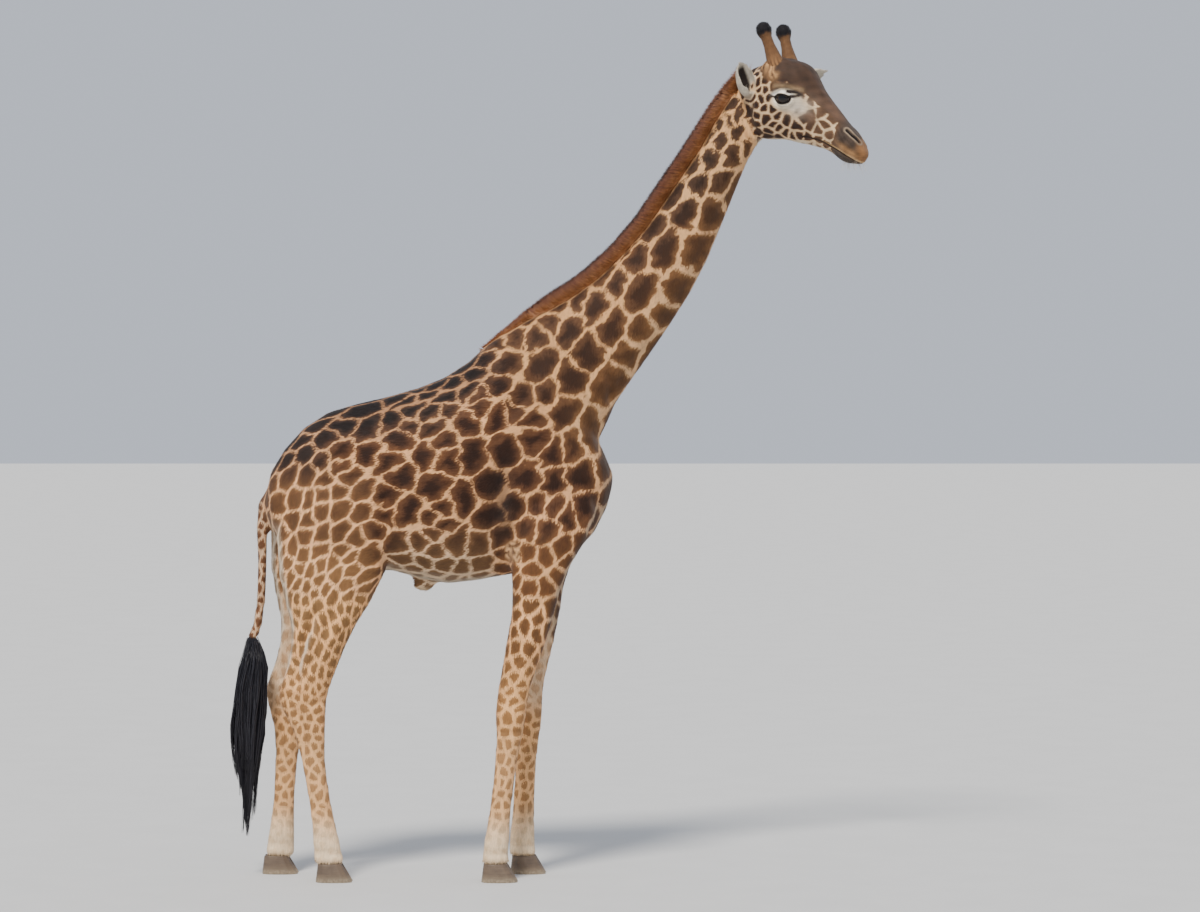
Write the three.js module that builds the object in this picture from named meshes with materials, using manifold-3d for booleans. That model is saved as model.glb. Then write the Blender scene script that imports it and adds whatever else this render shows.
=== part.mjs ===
// A young bull giraffe, life size, standing with its head turned a little to its right.
// Millimetres, +Z up. It faces +X, its right side is towards -Y, and its hooves stand on Z = 0.
import * as THREE from "three";
import { mergeVertices } from "three/addons/utils/BufferGeometryUtils.js";
import Module from "manifold-3d";

const wasm = await Module();
wasm.setup();

// ---------------------------------------------------------------- driving dimensions

const GAP = 0.3; // between two nodes that touch

// A section runs from a point on the upper outline to one on the lower outline, both in the side
// plane, with half its width across: [upper x, upper z, lower x, lower z, half width].
const TRUNK = [
  [-1428, 1880, -1424, 1840, 34],
  [-1410, 1940, -1398, 1790, 94],
  [-1372, 2075, -1350, 1690, 168],
  [-1285, 2190, -1262, 1600, 210],
  [-1165, 2306, -1128, 1535, 230],
  [-1010, 2366, -968, 1525, 243],
  [-842, 2405, -818, 1545, 262],
  [-662, 2455, -652, 1500, 286],
  [-518, 2512, -502, 1474, 296],
  [-388, 2597, -352, 1490, 288],
  [-288, 2690, -218, 1515, 268],
  [-190, 2738, -68, 1540, 246],
  [-68, 2680, 82, 1590, 226],
  [62, 2550, 202, 1690, 200],
  [182, 2350, 284, 1830, 158],
  [262, 2175, 318, 1945, 98],
  [300, 2085, 326, 2020, 38],
];
const NECK = [
  [-300, 2560, 130, 1960, 200],
  [-246, 2700, 262, 2200, 176],
  [-108, 2800, 340, 2378, 150],
  [60, 2882, 456, 2545, 132],
  [238, 3003, 610, 2768, 118],
  [440, 3202, 756, 3008, 106],
  [566, 3378, 860, 3248, 97],
  [680, 3545, 940, 3448, 90],
  [772, 3688, 1000, 3592, 86],
  [852, 3828, 1052, 3682, 84],
  [930, 3940, 1104, 3722, 82],
];
const NECK_BEND = { from: 3300, to: 3950, across: -24 }; // how the upper neck leans to the right

// The head is drawn in its own side plane, x from the pivot on the neck, and turned there.
const HEAD_PIVOT = { x: 1000, y: -24 };
const HEAD_TURN = THREE.MathUtils.degToRad(-32);
const HEAD = [
  [-46, 3972, 6, 3752, 62],
  [-6, 4022, 42, 3710, 88],
  [48, 4050, 88, 3694, 104],
  [112, 4066, 148, 3689, 112],
  [182, 4078, 216, 3686, 117],
  [258, 4080, 290, 3668, 112],
  [322, 4064, 350, 3656, 97],
  [368, 4026, 402, 3642, 82],
  [414, 3946, 446, 3630, 72],
  [463, 3882, 488, 3606, 65],
  [515, 3822, 528, 3576, 62],
  [565, 3760, 566, 3562, 64],
  [612, 3710, 608, 3558, 62],
  [646, 3664, 640, 3558, 50],
  [664, 3626, 660, 3578, 30],
  [673, 3608, 671, 3594, 8],
];
// Where each side of the head swells past its plain section: how far out, and over what radius.
const HEAD_SWELLS = [
  { x: 250, z: 3902, out: 28, over: 62 }, // the bone round the eye
  { x: 165, z: 4020, out: 34, over: 74 }, // what the ossicones stand on
  { x: 300, z: 4022, out: 16, over: 66 }, // the bump on the forehead
  { x: 118, z: 3776, out: 14, over: 78 }, // the cheek
  { x: 588, z: 3696, out: 12, over: 38 }, // the nostril
  { x: 566, z: 3606, out: 8, over: 40 }, // the lips
];
const SWELL_START = 45; // how far from the middle a swelling is full
const EYE = { x: 259, z: 3887, across: 96, radius: 43, opening: [39, 19] };
const OSSICONE = { x: 204, z: 4034, across: 71, back: 18, out: 8, length: 244, ball: 41 };
const EARS = {
  ear_right: { base: [60, -94, 3902], tip: [70, -206, 4066], faces: [0.94, -0.26, -0.1] },
  ear_left: { base: [118, 104, 3946], tip: [292, 286, 4038], faces: [0.68, -0.42, -0.6] },
};
// Half its width, half its depth, and how much smaller its hollow is and how far that is moved
// towards the opening and up the ear, as shares of its depth and length.
const EAR = { half: 54, deep: 42, hollow: 0.8, towards: 0.36, up: 0.14 };

// A leg's outline: [z, front x, rear x, half width]. Each leg is moved along by its stride.
const FORELEG = [
  [2080, 150, -150, 46],
  [1940, 232, -196, 84],
  [1780, 238, -205, 94],
  [1640, 150, -196, 96],
  [1490, 78, -182, 92],
  [1345, 38, -184, 84],
  [1185, -10, -213, 75],
  [1030, -64, -238, 66],
  [935, -93, -256, 63],
  [848, -103, -264, 66],
  [775, -114, -262, 61],
  [700, -130, -260, 52],
  [590, -153, -267, 45],
  [440, -173, -281, 43],
  [316, -188, -298, 46],
  [205, -192, -318, 56],
  [140, -198, -326, 53],
  [92, -190, -330, 57],
];
const HINDLEG = [
  [2200, -900, -1230, 44],
  [2040, -800, -1310, 92],
  [1860, -776, -1344, 112],
  [1630, -776, -1354, 122],
  [1440, -852, -1322, 113],
  [1300, -938, -1284, 99],
  [1168, -1004, -1280, 84],
  [1045, -1052, -1308, 70],
  [955, -1086, -1342, 60],
  [905, -1094, -1342, 59],
  [840, -1100, -1316, 58],
  [744, -1105, -1268, 51],
  [608, -1108, -1228, 45],
  [467, -1091, -1202, 43],
  [338, -1070, -1180, 45],
  [212, -1040, -1172, 55],
  [140, -1026, -1166, 52],
  [92, -1014, -1164, 56],
];
// Each leg: how far out to its side its middle is, and how far forward it stands from its
// outline, both as [height, distance] pairs.
const FORE_OUT = [[2080, 118], [1700, 170], [1300, 166], [0, 158]];
const HIND_OUT = [[2200, 92], [1860, 142], [1500, 164], [0, 156]];
const LEGS = {
  front_right: { side: -1, rows: FORELEG, out: FORE_OUT, stride: [[2080, 0], [0, 0]] },
  front_left: { side: 1, rows: FORELEG, out: FORE_OUT, stride: [[2080, 0], [1600, 0], [840, 76], [0, 136]] },
  hind_right: { side: -1, rows: HINDLEG, out: HIND_OUT, stride: [[2200, 0], [0, 0]] },
  hind_left: { side: 1, rows: HINDLEG, out: HIND_OUT, stride: [[2200, -30], [1200, -80], [900, -90], [0, -292]] },
};
const LEG_CUT = 1425; // the leg nodes start below the belly
const KNEE_CUT = { front: 800, hind: 850 };
// A hoof's front wall leans back by its rake, and its heel forward.
const HOOF = { length: 186, ahead: 42, width: 66, top: 92, cleft: 6, narrow: 0.88, rake: 54, heel: 12 };

const TAIL = [
  [-1290, 1900, -1310, 1990, 44],
  [-1372, 1874, -1428, 1950, 46],
  [-1400, 1790, -1464, 1800, 33],
  [-1404, 1600, -1458, 1600, 26],
  [-1412, 1440, -1464, 1440, 25],
  [-1424, 1300, -1476, 1300, 25],
  [-1452, 1205, -1512, 1205, 27],
];
const TAIL_TUFT = [
  [-1452, 1204, -1516, 1204, 28],
  [-1398, 1120, -1546, 1120, 50],
  [-1396, 1000, -1562, 1000, 58],
  [-1412, 835, -1580, 835, 58],
  [-1426, 675, -1592, 675, 54],
  [-1438, 560, -1580, 560, 48],
  [-1462, 400, -1556, 400, 34],
  [-1500, 270, -1530, 270, 12],
];
// The hair ridge from the withers to the poll: its outer edge, and its root inside the neck.
const MANE = [
  [-352, 2648, -300, 2610, 8],
  [-262, 2752, -190, 2668, 18],
  [-138, 2858, -60, 2740, 24],
  [74, 2984, 130, 2850, 26],
  [262, 3134, 320, 2992, 27],
  [430, 3330, 500, 3180, 27],
  [596, 3574, 660, 3440, 27],
  [742, 3786, 800, 3650, 27],
  [872, 3958, 910, 3820, 26],
  [952, 4022, 960, 3880, 20],
  [1004, 4052, 990, 3960, 10],
];
const SHEATH = { x: -620, z: 1480, radii: [62, 34, 48] };

// ---------------------------------------------------------------- shapes

// A smooth curve through the rows: every number is interpolated on its own (Catmull-Rom).
function between(rows, t) {
  const i = Math.min(Math.floor(t), rows.length - 2);
  const u = t - i;
  const at = (k) => rows[Math.min(Math.max(k, 0), rows.length - 1)];
  return rows[i].map((_, n) => {
    const [a, b, c, d] = [at(i - 1)[n], at(i)[n], at(i + 1)[n], at(i + 2)[n]];
    return b + 0.5 * u * (c - a + u * (2 * a - 5 * b + 4 * c - d + u * (3 * (b - c) + d - a)));
  });
}

function middle(ring) {
  return ring.reduce((sum, p) => sum.add(p), new THREE.Vector3()).divideScalar(ring.length);
}

// Moves the end ring away from the one before it.
function lengthen(end, before, grow) {
  const way = middle(end).sub(middle(before)).setLength(grow);
  end.forEach((point) => point.add(way));
}

// One closed surface from rings of points, with a fan of triangles over each end.
function skinned(rings) {
  const sides = rings[0].length;
  const points = [...rings.flat(), middle(rings[0]), middle(rings.at(-1))];
  const [first, last] = [points.length - 2, points.length - 1];
  const faces = [];
  for (let s = 0; s < sides; s += 1) {
    const next = (s + 1) % sides;
    for (let r = 0; r + 1 < rings.length; r += 1) {
      const [a, b, c, d] = [r * sides + s, r * sides + next, (r + 1) * sides + next, (r + 1) * sides + s];
      faces.push(a, b, c, a, c, d);
    }
    const end = (rings.length - 1) * sides;
    faces.push(first, next, s, last, end + s, end + next);
  }
  const geometry = new THREE.BufferGeometry().setFromPoints(points);
  geometry.setIndex(faces);
  return geometry;
}

// Sections between two outlines. across(x, z) gives the middle of a section across the body;
// square makes a section fuller than an oval, keel narrows its lower half, and grow adds to it
// all round.
function loft(rows, { rings, sides, across = () => 0, square = 2.2, widest = 0.5, keel = 0, grow = 0 }) {
  const power = 2 / square;
  const oval = (value) => Math.sign(value) * Math.abs(value) ** power;
  const made = [];
  for (let r = 0; r <= rings; r += 1) {
    const [ux, uz, lx, lz, half] = between(rows, (r / rings) * (rows.length - 1));
    const upper = new THREE.Vector2(ux, uz);
    const lower = new THREE.Vector2(lx, lz);
    const core = lower.clone().lerp(upper, widest);
    const way = upper.clone().sub(lower).normalize();
    const ring = [];
    for (let s = 0; s < sides; s += 1) {
      const angle = (2 * Math.PI * s) / sides;
      const up = oval(Math.cos(angle));
      const reach = (up > 0 ? upper : lower).distanceTo(core) + grow;
      const point = core.clone().addScaledVector(way, up * reach);
      const wide = (half + grow) * (1 + keel * Math.min(up, 0));
      ring.push(new THREE.Vector3(point.x, across(ux, uz) + oval(Math.sin(angle)) * wide, point.y));
    }
    made.push(ring);
  }
  lengthen(made[0], made[1], grow);
  lengthen(made.at(-1), made.at(-2), grow);
  return skinned(made);
}

// An oval lump, its three radii along X, Y and Z.
function lump(x, y, z, [rx, ry, rz], grow = 0, sides = 10) {
  const ball = new THREE.SphereGeometry(1, sides, sides / 2 + 1);
  return ball.scale(rx + grow, ry + grow, rz + grow).translate(x, y, z);
}

// A body of revolution round Z from [radius, height] pairs.
function turned(profile, sides) {
  const points = profile.map(([radius, height]) => new THREE.Vector2(radius, height));
  return new THREE.LatheGeometry(points, sides).rotateX(Math.PI / 2);
}

// ---------------------------------------------------------------- joining and cutting

function volume(mesh) {
  let sum = 0;
  const index = mesh.getIndex().array;
  const [a, b, c] = [new THREE.Vector3(), new THREE.Vector3(), new THREE.Vector3()];
  for (let i = 0; i < index.length; i += 3) {
    [a, b, c].forEach((point, k) => point.fromBufferAttribute(mesh.getAttribute("position"), index[i + k]));
    sum += a.dot(b.cross(c));
  }
  return sum;
}

function solid(geometry) {
  const bare = geometry.clone();
  bare.deleteAttribute("normal");
  bare.deleteAttribute("uv");
  const merged = mergeVertices(bare, 1e-3);
  const whole = merged.getIndex().array;
  const kept = [];
  for (let i = 0; i < whole.length; i += 3) {
    const [a, b, c] = whole.slice(i, i + 3);
    if (a !== b && b !== c && c !== a) kept.push(a, b, c);
  }
  if (volume(merged) < 0) kept.reverse();
  const vertProperties = new Float32Array(merged.getAttribute("position").array);
  return new wasm.Manifold(new wasm.Mesh({ numProp: 3, vertProperties, triVerts: new Uint32Array(kept) }));
}

function geometryOf(shape) {
  const { vertProperties, triVerts } = shape.getMesh();
  const geometry = new THREE.BufferGeometry();
  geometry.setAttribute("position", new THREE.BufferAttribute(vertProperties, 3));
  geometry.setIndex(new THREE.BufferAttribute(triVerts, 1));
  geometry.computeVertexNormals();
  return geometry;
}

const joined = (shapes) => shapes.reduce((all, shape) => all.add(shape));
// The part of a shape on the side of a plane that the normal points to, and the part behind it.
const ahead = (shape, normal, at) => shape.trimByPlane(normal, at + GAP / 2);
const behind = (shape, normal, at) => shape.trimByPlane(normal.map((n) => -n), -at + GAP / 2);

// An upright plane across the body through two points of the side view, from below to above. Its
// normal is towards the head.
function planeThrough([x1, z1], [x2, z2]) {
  const way = new THREE.Vector2(x2 - x1, z2 - z1).normalize();
  const normal = [way.y, 0, -way.x];
  return { normal, at: normal[0] * x1 + normal[2] * z1 };
}

// ---------------------------------------------------------------- the flesh

function neckBend(x, z) {
  return NECK_BEND.across * THREE.MathUtils.smoothstep(z, NECK_BEND.from, NECK_BEND.to);
}

function headPlaced(geometry) {
  return geometry.rotateZ(HEAD_TURN).translate(HEAD_PIVOT.x, HEAD_PIVOT.y, 0);
}

function headGeometry(grow) {
  const head = loft(HEAD, { rings: 28, sides: 20, square: 2.3, widest: 0.55, keel: 0.32, grow });
  const place = head.getAttribute("position");
  for (let i = 0; i < place.count; i += 1) {
    const [x, y, z] = [place.getX(i), place.getY(i), place.getZ(i)];
    const near = ({ over, ...swell }) => Math.exp(-((x - swell.x) ** 2 + (z - swell.z) ** 2) / over ** 2);
    const out = HEAD_SWELLS.reduce((sum, swell) => sum + swell.out * near(swell), 0);
    place.setY(i, y + out * THREE.MathUtils.clamp(y / SWELL_START, -1, 1));
  }
  return headPlaced(head);
}

// The distance at a height, from [height, distance] pairs that run downwards.
function atHeight(pairs, z) {
  const last = Math.max(1, pairs.findIndex(([height]) => height <= z));
  const [[z1, d1], [z2, d2]] = [pairs[last - 1], pairs[last]];
  return THREE.MathUtils.mapLinear(z, z1, z2, d1, d2);
}

function legGeometry({ side, rows, out, stride }, grow) {
  const outline = rows.map(([z, front, rear, half]) => {
    const move = atHeight(stride, z);
    return [front + move, z, rear + move, z, half];
  });
  const across = (x, z) => side * atHeight(out, z);
  return loft(outline, { rings: 20, sides: 12, across, square: 2.15, grow });
}

function flesh(grow = 0) {
  return joined([
    solid(loft(TRUNK, { rings: 18, sides: 24, square: 2.25, widest: 0.48, grow })),
    solid(lump(SHEATH.x, 0, SHEATH.z, SHEATH.radii, grow)),
    solid(loft(NECK, { rings: 15, sides: 18, across: neckBend, grow })),
    solid(headGeometry(grow)),
    ...Object.values(LEGS).map((leg) => solid(legGeometry(leg, grow))),
  ]);
}

function eyeGeometry(side, grow = 0) {
  const { x, z, across, radius } = EYE;
  return headPlaced(lump(x, side * across, z, [radius, radius, radius], grow, 12));
}

// The opening between the lids, cut so that the eyeball shows.
function lidOpening(side) {
  const { x, z, across, radius, opening } = EYE;
  const [along, up] = opening;
  return headPlaced(lump(x, side * (across + radius), z, [along, radius / 2, up]));
}

// ---------------------------------------------------------------- ears, ossicones, hooves

// A rolled leaf along its own Z, open to its own +X.
function earShape(length, scale) {
  const outline = [0.5, 0.8, 1, 1, 0.9, 0.64, 0.14];
  const rings = [];
  for (let r = 0; r <= 6; r += 1) {
    const [size] = between(outline.map((value) => [value]), (r / 6) * (outline.length - 1));
    const z = (r / 6) * length;
    const ring = [];
    for (let s = 0; s < 10; s += 1) {
      const angle = (2 * Math.PI * s) / 10;
      const deep = EAR.deep * size * scale;
      ring.push(new THREE.Vector3(Math.cos(angle) * deep, Math.sin(angle) * EAR.half * size * scale, z));
    }
    rings.push(ring);
  }
  return skinned(rings);
}

function earGeometry({ base, tip, faces }) {
  const axis = new THREE.Vector3(...tip).sub(new THREE.Vector3(...base));
  const length = axis.length();
  const up = axis.normalize();
  const opening = new THREE.Vector3(...faces);
  opening.addScaledVector(up, -opening.dot(up)).normalize();
  const frame = new THREE.Matrix4().makeBasis(opening, up.clone().cross(opening), up);
  frame.setPosition(...base);
  const hollow = earShape(length, EAR.hollow).translate(EAR.deep * EAR.towards, 0, length * EAR.up);
  const cup = solid(earShape(length, 1)).subtract(solid(hollow));
  return headPlaced(geometryOf(cup).applyMatrix4(frame));
}

function ossiconeGeometry(side) {
  const { x, z, across, back, out, length, ball } = OSSICONE;
  const profile = [
    [0, -40], [58, -40], [52, 0], [44, 40], [36, 84], [30, 124], [29, length - 84],
    [ball * 0.84, length - 68], [ball, length - 42], [ball * 0.82, length - 16], [ball * 0.45, length - 4], [0, length],
  ];
  const horn = turned(profile, 10);
  horn.rotateX(side * -THREE.MathUtils.degToRad(out)).rotateY(-THREE.MathUtils.degToRad(back));
  return headPlaced(horn.translate(x, side * across, z));
}

// One claw of a cloven hoof, its flat sole on Z = 0. inner is +1 where the cleft is towards +Y.
function clawGeometry(front, middle, inner) {
  const { length, width, top, cleft, narrow, rake, heel } = HOOF;
  const levels = [[0, 0.97], [12, 1], [top * 0.5, 0.97], [top - GAP, narrow]];
  const rings = levels.map(([z, size]) => {
    const rise = z / top;
    const half = (length - (rake + heel) * rise) / 2;
    const centre = front - length / 2 - ((rake - heel) * rise) / 2;
    const ring = [];
    for (let s = 0; s < 12; s += 1) {
      const angle = (2 * Math.PI * s) / 12;
      const along = Math.sign(Math.cos(angle)) * Math.abs(Math.cos(angle)) ** 0.8;
      const over = Math.sin(angle) * inner;
      const flat = over > 0 ? 0.5 : 1; // the side at the cleft is flatter
      const x = centre + along * half;
      const y = middle - inner * (cleft / 2 + width / 3) + (inner * over * flat * width * size * 2) / 3;
      ring.push(new THREE.Vector3(x, y, z));
    }
    return ring;
  });
  return skinned(rings);
}

// ---------------------------------------------------------------- the animal, parted into nodes

const COLOURS = {
  coat: new THREE.MeshStandardMaterial({ color: 0x8a5a36, roughness: 0.8, metalness: 0 }),
  pale: new THREE.MeshStandardMaterial({ color: 0xd2ac86, roughness: 0.8, metalness: 0 }),
  mane: new THREE.MeshStandardMaterial({ color: 0x7a3f1e, roughness: 0.8, metalness: 0 }),
  dark: new THREE.MeshStandardMaterial({ color: 0x15171c, roughness: 0.7, metalness: 0 }),
  ear: new THREE.MeshStandardMaterial({ color: 0xc9c2b8, roughness: 0.8, metalness: 0 }),
  horn: new THREE.MeshStandardMaterial({ color: 0x8a6038, roughness: 0.8, metalness: 0 }),
  eye: new THREE.MeshStandardMaterial({ color: 0x0d0b0a, roughness: 0.1, metalness: 0 }),
  hoof: new THREE.MeshStandardMaterial({ color: 0x5c5046, roughness: 0.5, metalness: 0 }),
};

const giraffe = new THREE.Group();

function node(name, shape, colour) {
  const whole = shape instanceof wasm.Manifold ? shape : solid(shape);
  const mesh = new THREE.Mesh(geometryOf(whole), COLOURS[colour]);
  mesh.name = name;
  giraffe.add(mesh);
}

const shell = flesh(2 * GAP);
let body = flesh();
for (const side of [-1, 1]) {
  body = body.subtract(solid(eyeGeometry(side, GAP))).subtract(solid(lidOpening(side)));
}

// The neck leaves the trunk from the breast to the withers, and meets the head behind the jaw.
const neckFoot = planeThrough([318, 2120], [-262, 2720]);
const neckHalf = planeThrough([700, 2960], [430, 3220]);
const headBack = planeThrough([1050, 3660], [930, 4010]);
const level = [0, 0, 1];

const upperBody = ahead(body, level, LEG_CUT);
const neckAndHead = ahead(upperBody, neckFoot.normal, neckFoot.at);
const neck = behind(neckAndHead, headBack.normal, headBack.at);
node("trunk", behind(upperBody, neckFoot.normal, neckFoot.at), "coat");
node("neck_lower", behind(neck, neckHalf.normal, neckHalf.at), "coat");
node("neck_upper", ahead(neck, neckHalf.normal, neckHalf.at), "coat");
node("head", ahead(neckAndHead, headBack.normal, headBack.at), "coat");

const middleOfBody = -500; // between the forelegs and the hind legs
for (const [name, { side, rows, out, stride }] of Object.entries(LEGS)) {
  const fore = name.startsWith("front");
  const below = behind(body, level, LEG_CUT);
  const half = fore ? ahead(below, [1, 0, 0], middleOfBody) : behind(below, [1, 0, 0], middleOfBody);
  const leg = side > 0 ? ahead(half, [0, 1, 0], 0) : behind(half, [0, 1, 0], 0);
  const knee = fore ? KNEE_CUT.front : KNEE_CUT.hind;
  node(`leg_${name}_upper`, ahead(leg, level, knee), "pale");
  node(`leg_${name}_lower`, behind(leg, level, knee), "pale");
  const toe = rows.at(-1)[1] + atHeight(stride, 0) + HOOF.ahead;
  const middleOfFoot = side * atHeight(out, 0);
  for (const [claw, inner] of [["outer", -side], ["inner", side]]) {
    node(`hoof_${name}_${claw}`, clawGeometry(toe, middleOfFoot, inner), "hoof");
  }
}

for (const [name, ear] of Object.entries(EARS)) {
  node(name, solid(earGeometry(ear)).subtract(shell), "ear");
}
for (const [name, side] of [["right", -1], ["left", 1]]) {
  node(`ossicone_${name}`, solid(ossiconeGeometry(side)).subtract(shell), "horn");
  node(`eye_${name}`, eyeGeometry(side), "eye");
}
node("mane", solid(loft(MANE, { rings: 12, sides: 8, across: neckBend })).subtract(shell), "mane");
node("tail", solid(loft(TAIL, { rings: 8, sides: 9 })).subtract(shell), "coat");
node("tail_tuft", loft(TAIL_TUFT, { rings: 8, sides: 10 }), "dark");

// The origin is the middle of the footprint, at the level of the soles.
const bounds = new THREE.Box3().setFromObject(giraffe);
const centre = bounds.getCenter(new THREE.Vector3());
giraffe.position.set(-centre.x, -centre.y, -bounds.min.z);

export default giraffe;
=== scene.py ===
"""A young bull giraffe, life size, standing with its head turned a little to its right.

Metres, +Z up. It faces +X and its right side is towards -Y. One skin stands for all the flesh,
with short tufts of hair over it, and the same markings run through both. Places on the body
are given as on a side drawing: x ahead of the drawing's zero, y to the left of the middle, z up.
"""
import math

import bmesh
import bpy
import numpy as np
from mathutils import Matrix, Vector
from mathutils.bvhtree import BVHTree
from mathutils.kdtree import KDTree


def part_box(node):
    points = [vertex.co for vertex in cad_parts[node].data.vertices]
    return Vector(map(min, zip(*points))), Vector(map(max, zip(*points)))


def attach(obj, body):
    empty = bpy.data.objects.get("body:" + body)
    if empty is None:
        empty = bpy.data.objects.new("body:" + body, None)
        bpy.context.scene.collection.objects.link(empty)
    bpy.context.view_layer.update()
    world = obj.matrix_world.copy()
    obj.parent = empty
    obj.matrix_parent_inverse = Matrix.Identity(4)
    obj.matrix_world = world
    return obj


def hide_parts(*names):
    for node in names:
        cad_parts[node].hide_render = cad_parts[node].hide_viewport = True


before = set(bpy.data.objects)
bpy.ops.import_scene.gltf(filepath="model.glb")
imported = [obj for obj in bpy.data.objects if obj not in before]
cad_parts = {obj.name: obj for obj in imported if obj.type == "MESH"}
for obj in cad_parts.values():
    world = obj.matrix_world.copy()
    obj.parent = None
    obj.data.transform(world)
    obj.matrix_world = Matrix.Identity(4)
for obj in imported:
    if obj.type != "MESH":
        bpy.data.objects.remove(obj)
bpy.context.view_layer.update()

# ------------------------------------------------------------------ sizes and places

MM = 0.001
BODY_COAT = 4 * MM  # how far the skin lies inside the solids
FACE_COAT = 1.5 * MM
BODY_CELL = 17 * MM  # the skin's mesh on the body
FACE_CELL = 6 * MM  # and on the head, where it is finer
SEED = 11

FEET = ["front_right", "front_left", "hind_right", "hind_left"]
LEG_NODES = [f"leg_{foot}_{part}" for foot in FEET for part in ("upper", "lower")]
BODY_NODES = ["trunk", "neck_lower", "neck_upper", "head", "tail"] + LEG_NODES
HEAD_NODES = ["neck_upper", "head", "ear_right", "ear_left", "eye_right", "eye_left"]
FLESH_NODES = BODY_NODES + ["ear_right", "ear_left"]

# The side drawing's y = 0 is the middle of the trunk's own box. Its x = 0 is set here, and lies
# 0.98 mm further ahead than in the solids as they were packed last.
trunk_low, trunk_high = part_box("trunk")
MID_Y = (trunk_low.y + trunk_high.y) / 2
ZERO_X = 0.0071745

HEAD_PIVOT = np.array([ZERO_X + 1.0, MID_Y - 0.024, 0.0])
HEAD_TURN = math.radians(-32)
HEAD_AHEAD = np.array([math.cos(HEAD_TURN), math.sin(HEAD_TURN), 0.0])
HEAD_LEFT = np.array([-math.sin(HEAD_TURN), math.cos(HEAD_TURN), 0.0])
UP = np.array([0.0, 0.0, 1.0])
# Where the fine mesh of the head meets the coarser mesh of the body, across the upper neck.
SEAM_POINT = np.array([ZERO_X + 0.93, MID_Y, 3.66])
SEAM_WAY = np.array([0.62, 0.0, 0.78])
SEAM_GAP = 8 * MM

# The frame that the large patches are placed in, as points across and down. The drawing's zero
# stands at ZERO_AT in it, and one step is 5 mm in the middle plane of the body.
FRAME_MIDDLE = (600, 456)
ZERO_AT = (548.5, 879)
HORIZON_ABOVE = 131  # steps from the frame's middle up to the horizon
STEP = 5 * MM
CAMERA_AWAY = 20.0
CAMERA_AHEAD = (FRAME_MIDDLE[0] - ZERO_AT[0]) * STEP
CAMERA_UP = (ZERO_AT[1] - FRAME_MIDDLE[1] + HORIZON_ABOVE) * STEP
CAMERA = np.array([ZERO_X + CAMERA_AHEAD, MID_Y - CAMERA_AWAY, CAMERA_UP])


def on_head(ahead, left, z):
    """A point given by how far it lies ahead of the head's pivot, to its left, and up."""
    return HEAD_PIVOT + ahead * HEAD_AHEAD + left * HEAD_LEFT + z * UP


def head_coordinates(points):
    away = points - HEAD_PIVOT
    return away @ HEAD_AHEAD, away @ HEAD_LEFT, points[:, 2]


def ramp(values, start, end):
    """0 at start and 1 at end, smoothly between them."""
    t = np.clip((values - start) / (end - start), 0, 1)
    return t * t * (3 - 2 * t)


def bump(distance, radius):
    """1 at no distance, falling smoothly to 0 at about twice the radius."""
    return np.exp(-((distance / radius) ** 2))


def unit(vectors):
    return vectors / np.maximum(np.linalg.norm(vectors, axis=-1, keepdims=True), 1e-9)


def tint(red, green, blue):
    """A colour as it is named on a screen, turned to light."""
    share = np.array([red, green, blue]) / 255
    return np.where(share <= 0.04045, share / 12.92, ((share + 0.055) / 1.055) ** 2.4)


def wander(points, length, rng, waves=5):
    """A smooth random vector at each point, of size about 1, that changes over the length."""
    total = np.zeros_like(points)
    for _ in range(waves):
        way = unit(rng.normal(size=3)) * 2 * np.pi / (length * rng.uniform(0.7, 1.5))
        total += np.sin((points @ way)[:, None] + rng.uniform(0, 6.28, 3)) * rng.normal(size=3)
    return total / math.sqrt(waves)


def ear_share(ahead, left, z):
    """1 on the ears and 0 on the rest of the head."""
    out = np.abs(left)
    return ramp(out, 0.112, 0.135) * (ahead < 0.22 + 0.12 * (out > 0.15)) * (z > 3.86)


# The ears and ossicones: where each starts, its way, and for an ear the way that it opens.
EARS = {
    -1: (on_head(0.060, -0.094, 3.902), (0.010, -0.112, 0.164), (0.94, -0.26, -0.1)),
    1: (on_head(0.118, 0.104, 3.946), (0.174, 0.182, 0.092), (0.68, -0.42, -0.6)),
}


def ear_coordinates(points, side):
    """How far points lie along one ear, across it, and towards its opening."""
    base, way, opens = EARS[side]
    along = unit(way[0] * HEAD_AHEAD + way[1] * HEAD_LEFT + way[2] * UP)
    opening = opens[0] * HEAD_AHEAD + opens[1] * HEAD_LEFT + opens[2] * UP
    opening = unit(opening - (opening @ along) * along)
    away = points - base
    return away @ along, away @ np.cross(along, opening), away @ opening, opening


def horn_coordinates(points, side):
    """How far points lie above the foot of one ossicone, and ahead and to the left of its middle."""
    axis = unit(UP - 0.325 * HEAD_AHEAD + 0.147 * side * HEAD_LEFT)
    away = points - on_head(0.204, 0.071 * side, 4.034)
    up = away @ axis
    out = away - up[:, None] * axis
    return up, out @ HEAD_AHEAD, out @ HEAD_LEFT, axis


# ------------------------------------------------------------------ meshes

def new_object(name, mesh):
    made = bpy.data.objects.new(name, mesh)
    bpy.context.scene.collection.objects.link(made)
    return made


def mesh_from(name, points, faces):
    mesh = bpy.data.meshes.new(name)
    mesh.from_pydata(np.asarray(points).tolist(), [], np.asarray(faces).tolist())
    mesh.update()
    return mesh


def numbers(data, kind, width, of=np.float32):
    found = np.empty(len(data) * width, dtype=of)
    data.foreach_get(kind, found)
    return found.reshape(-1, width) if width > 1 else found


def points_of(mesh):
    return numbers(mesh.vertices, "co", 3).astype(np.float64)


def normals_of(mesh):
    return numbers(mesh.vertices, "normal", 3).astype(np.float64)


def edges_of(mesh):
    return numbers(mesh.edges, "vertices", 2, np.int32)


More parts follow.
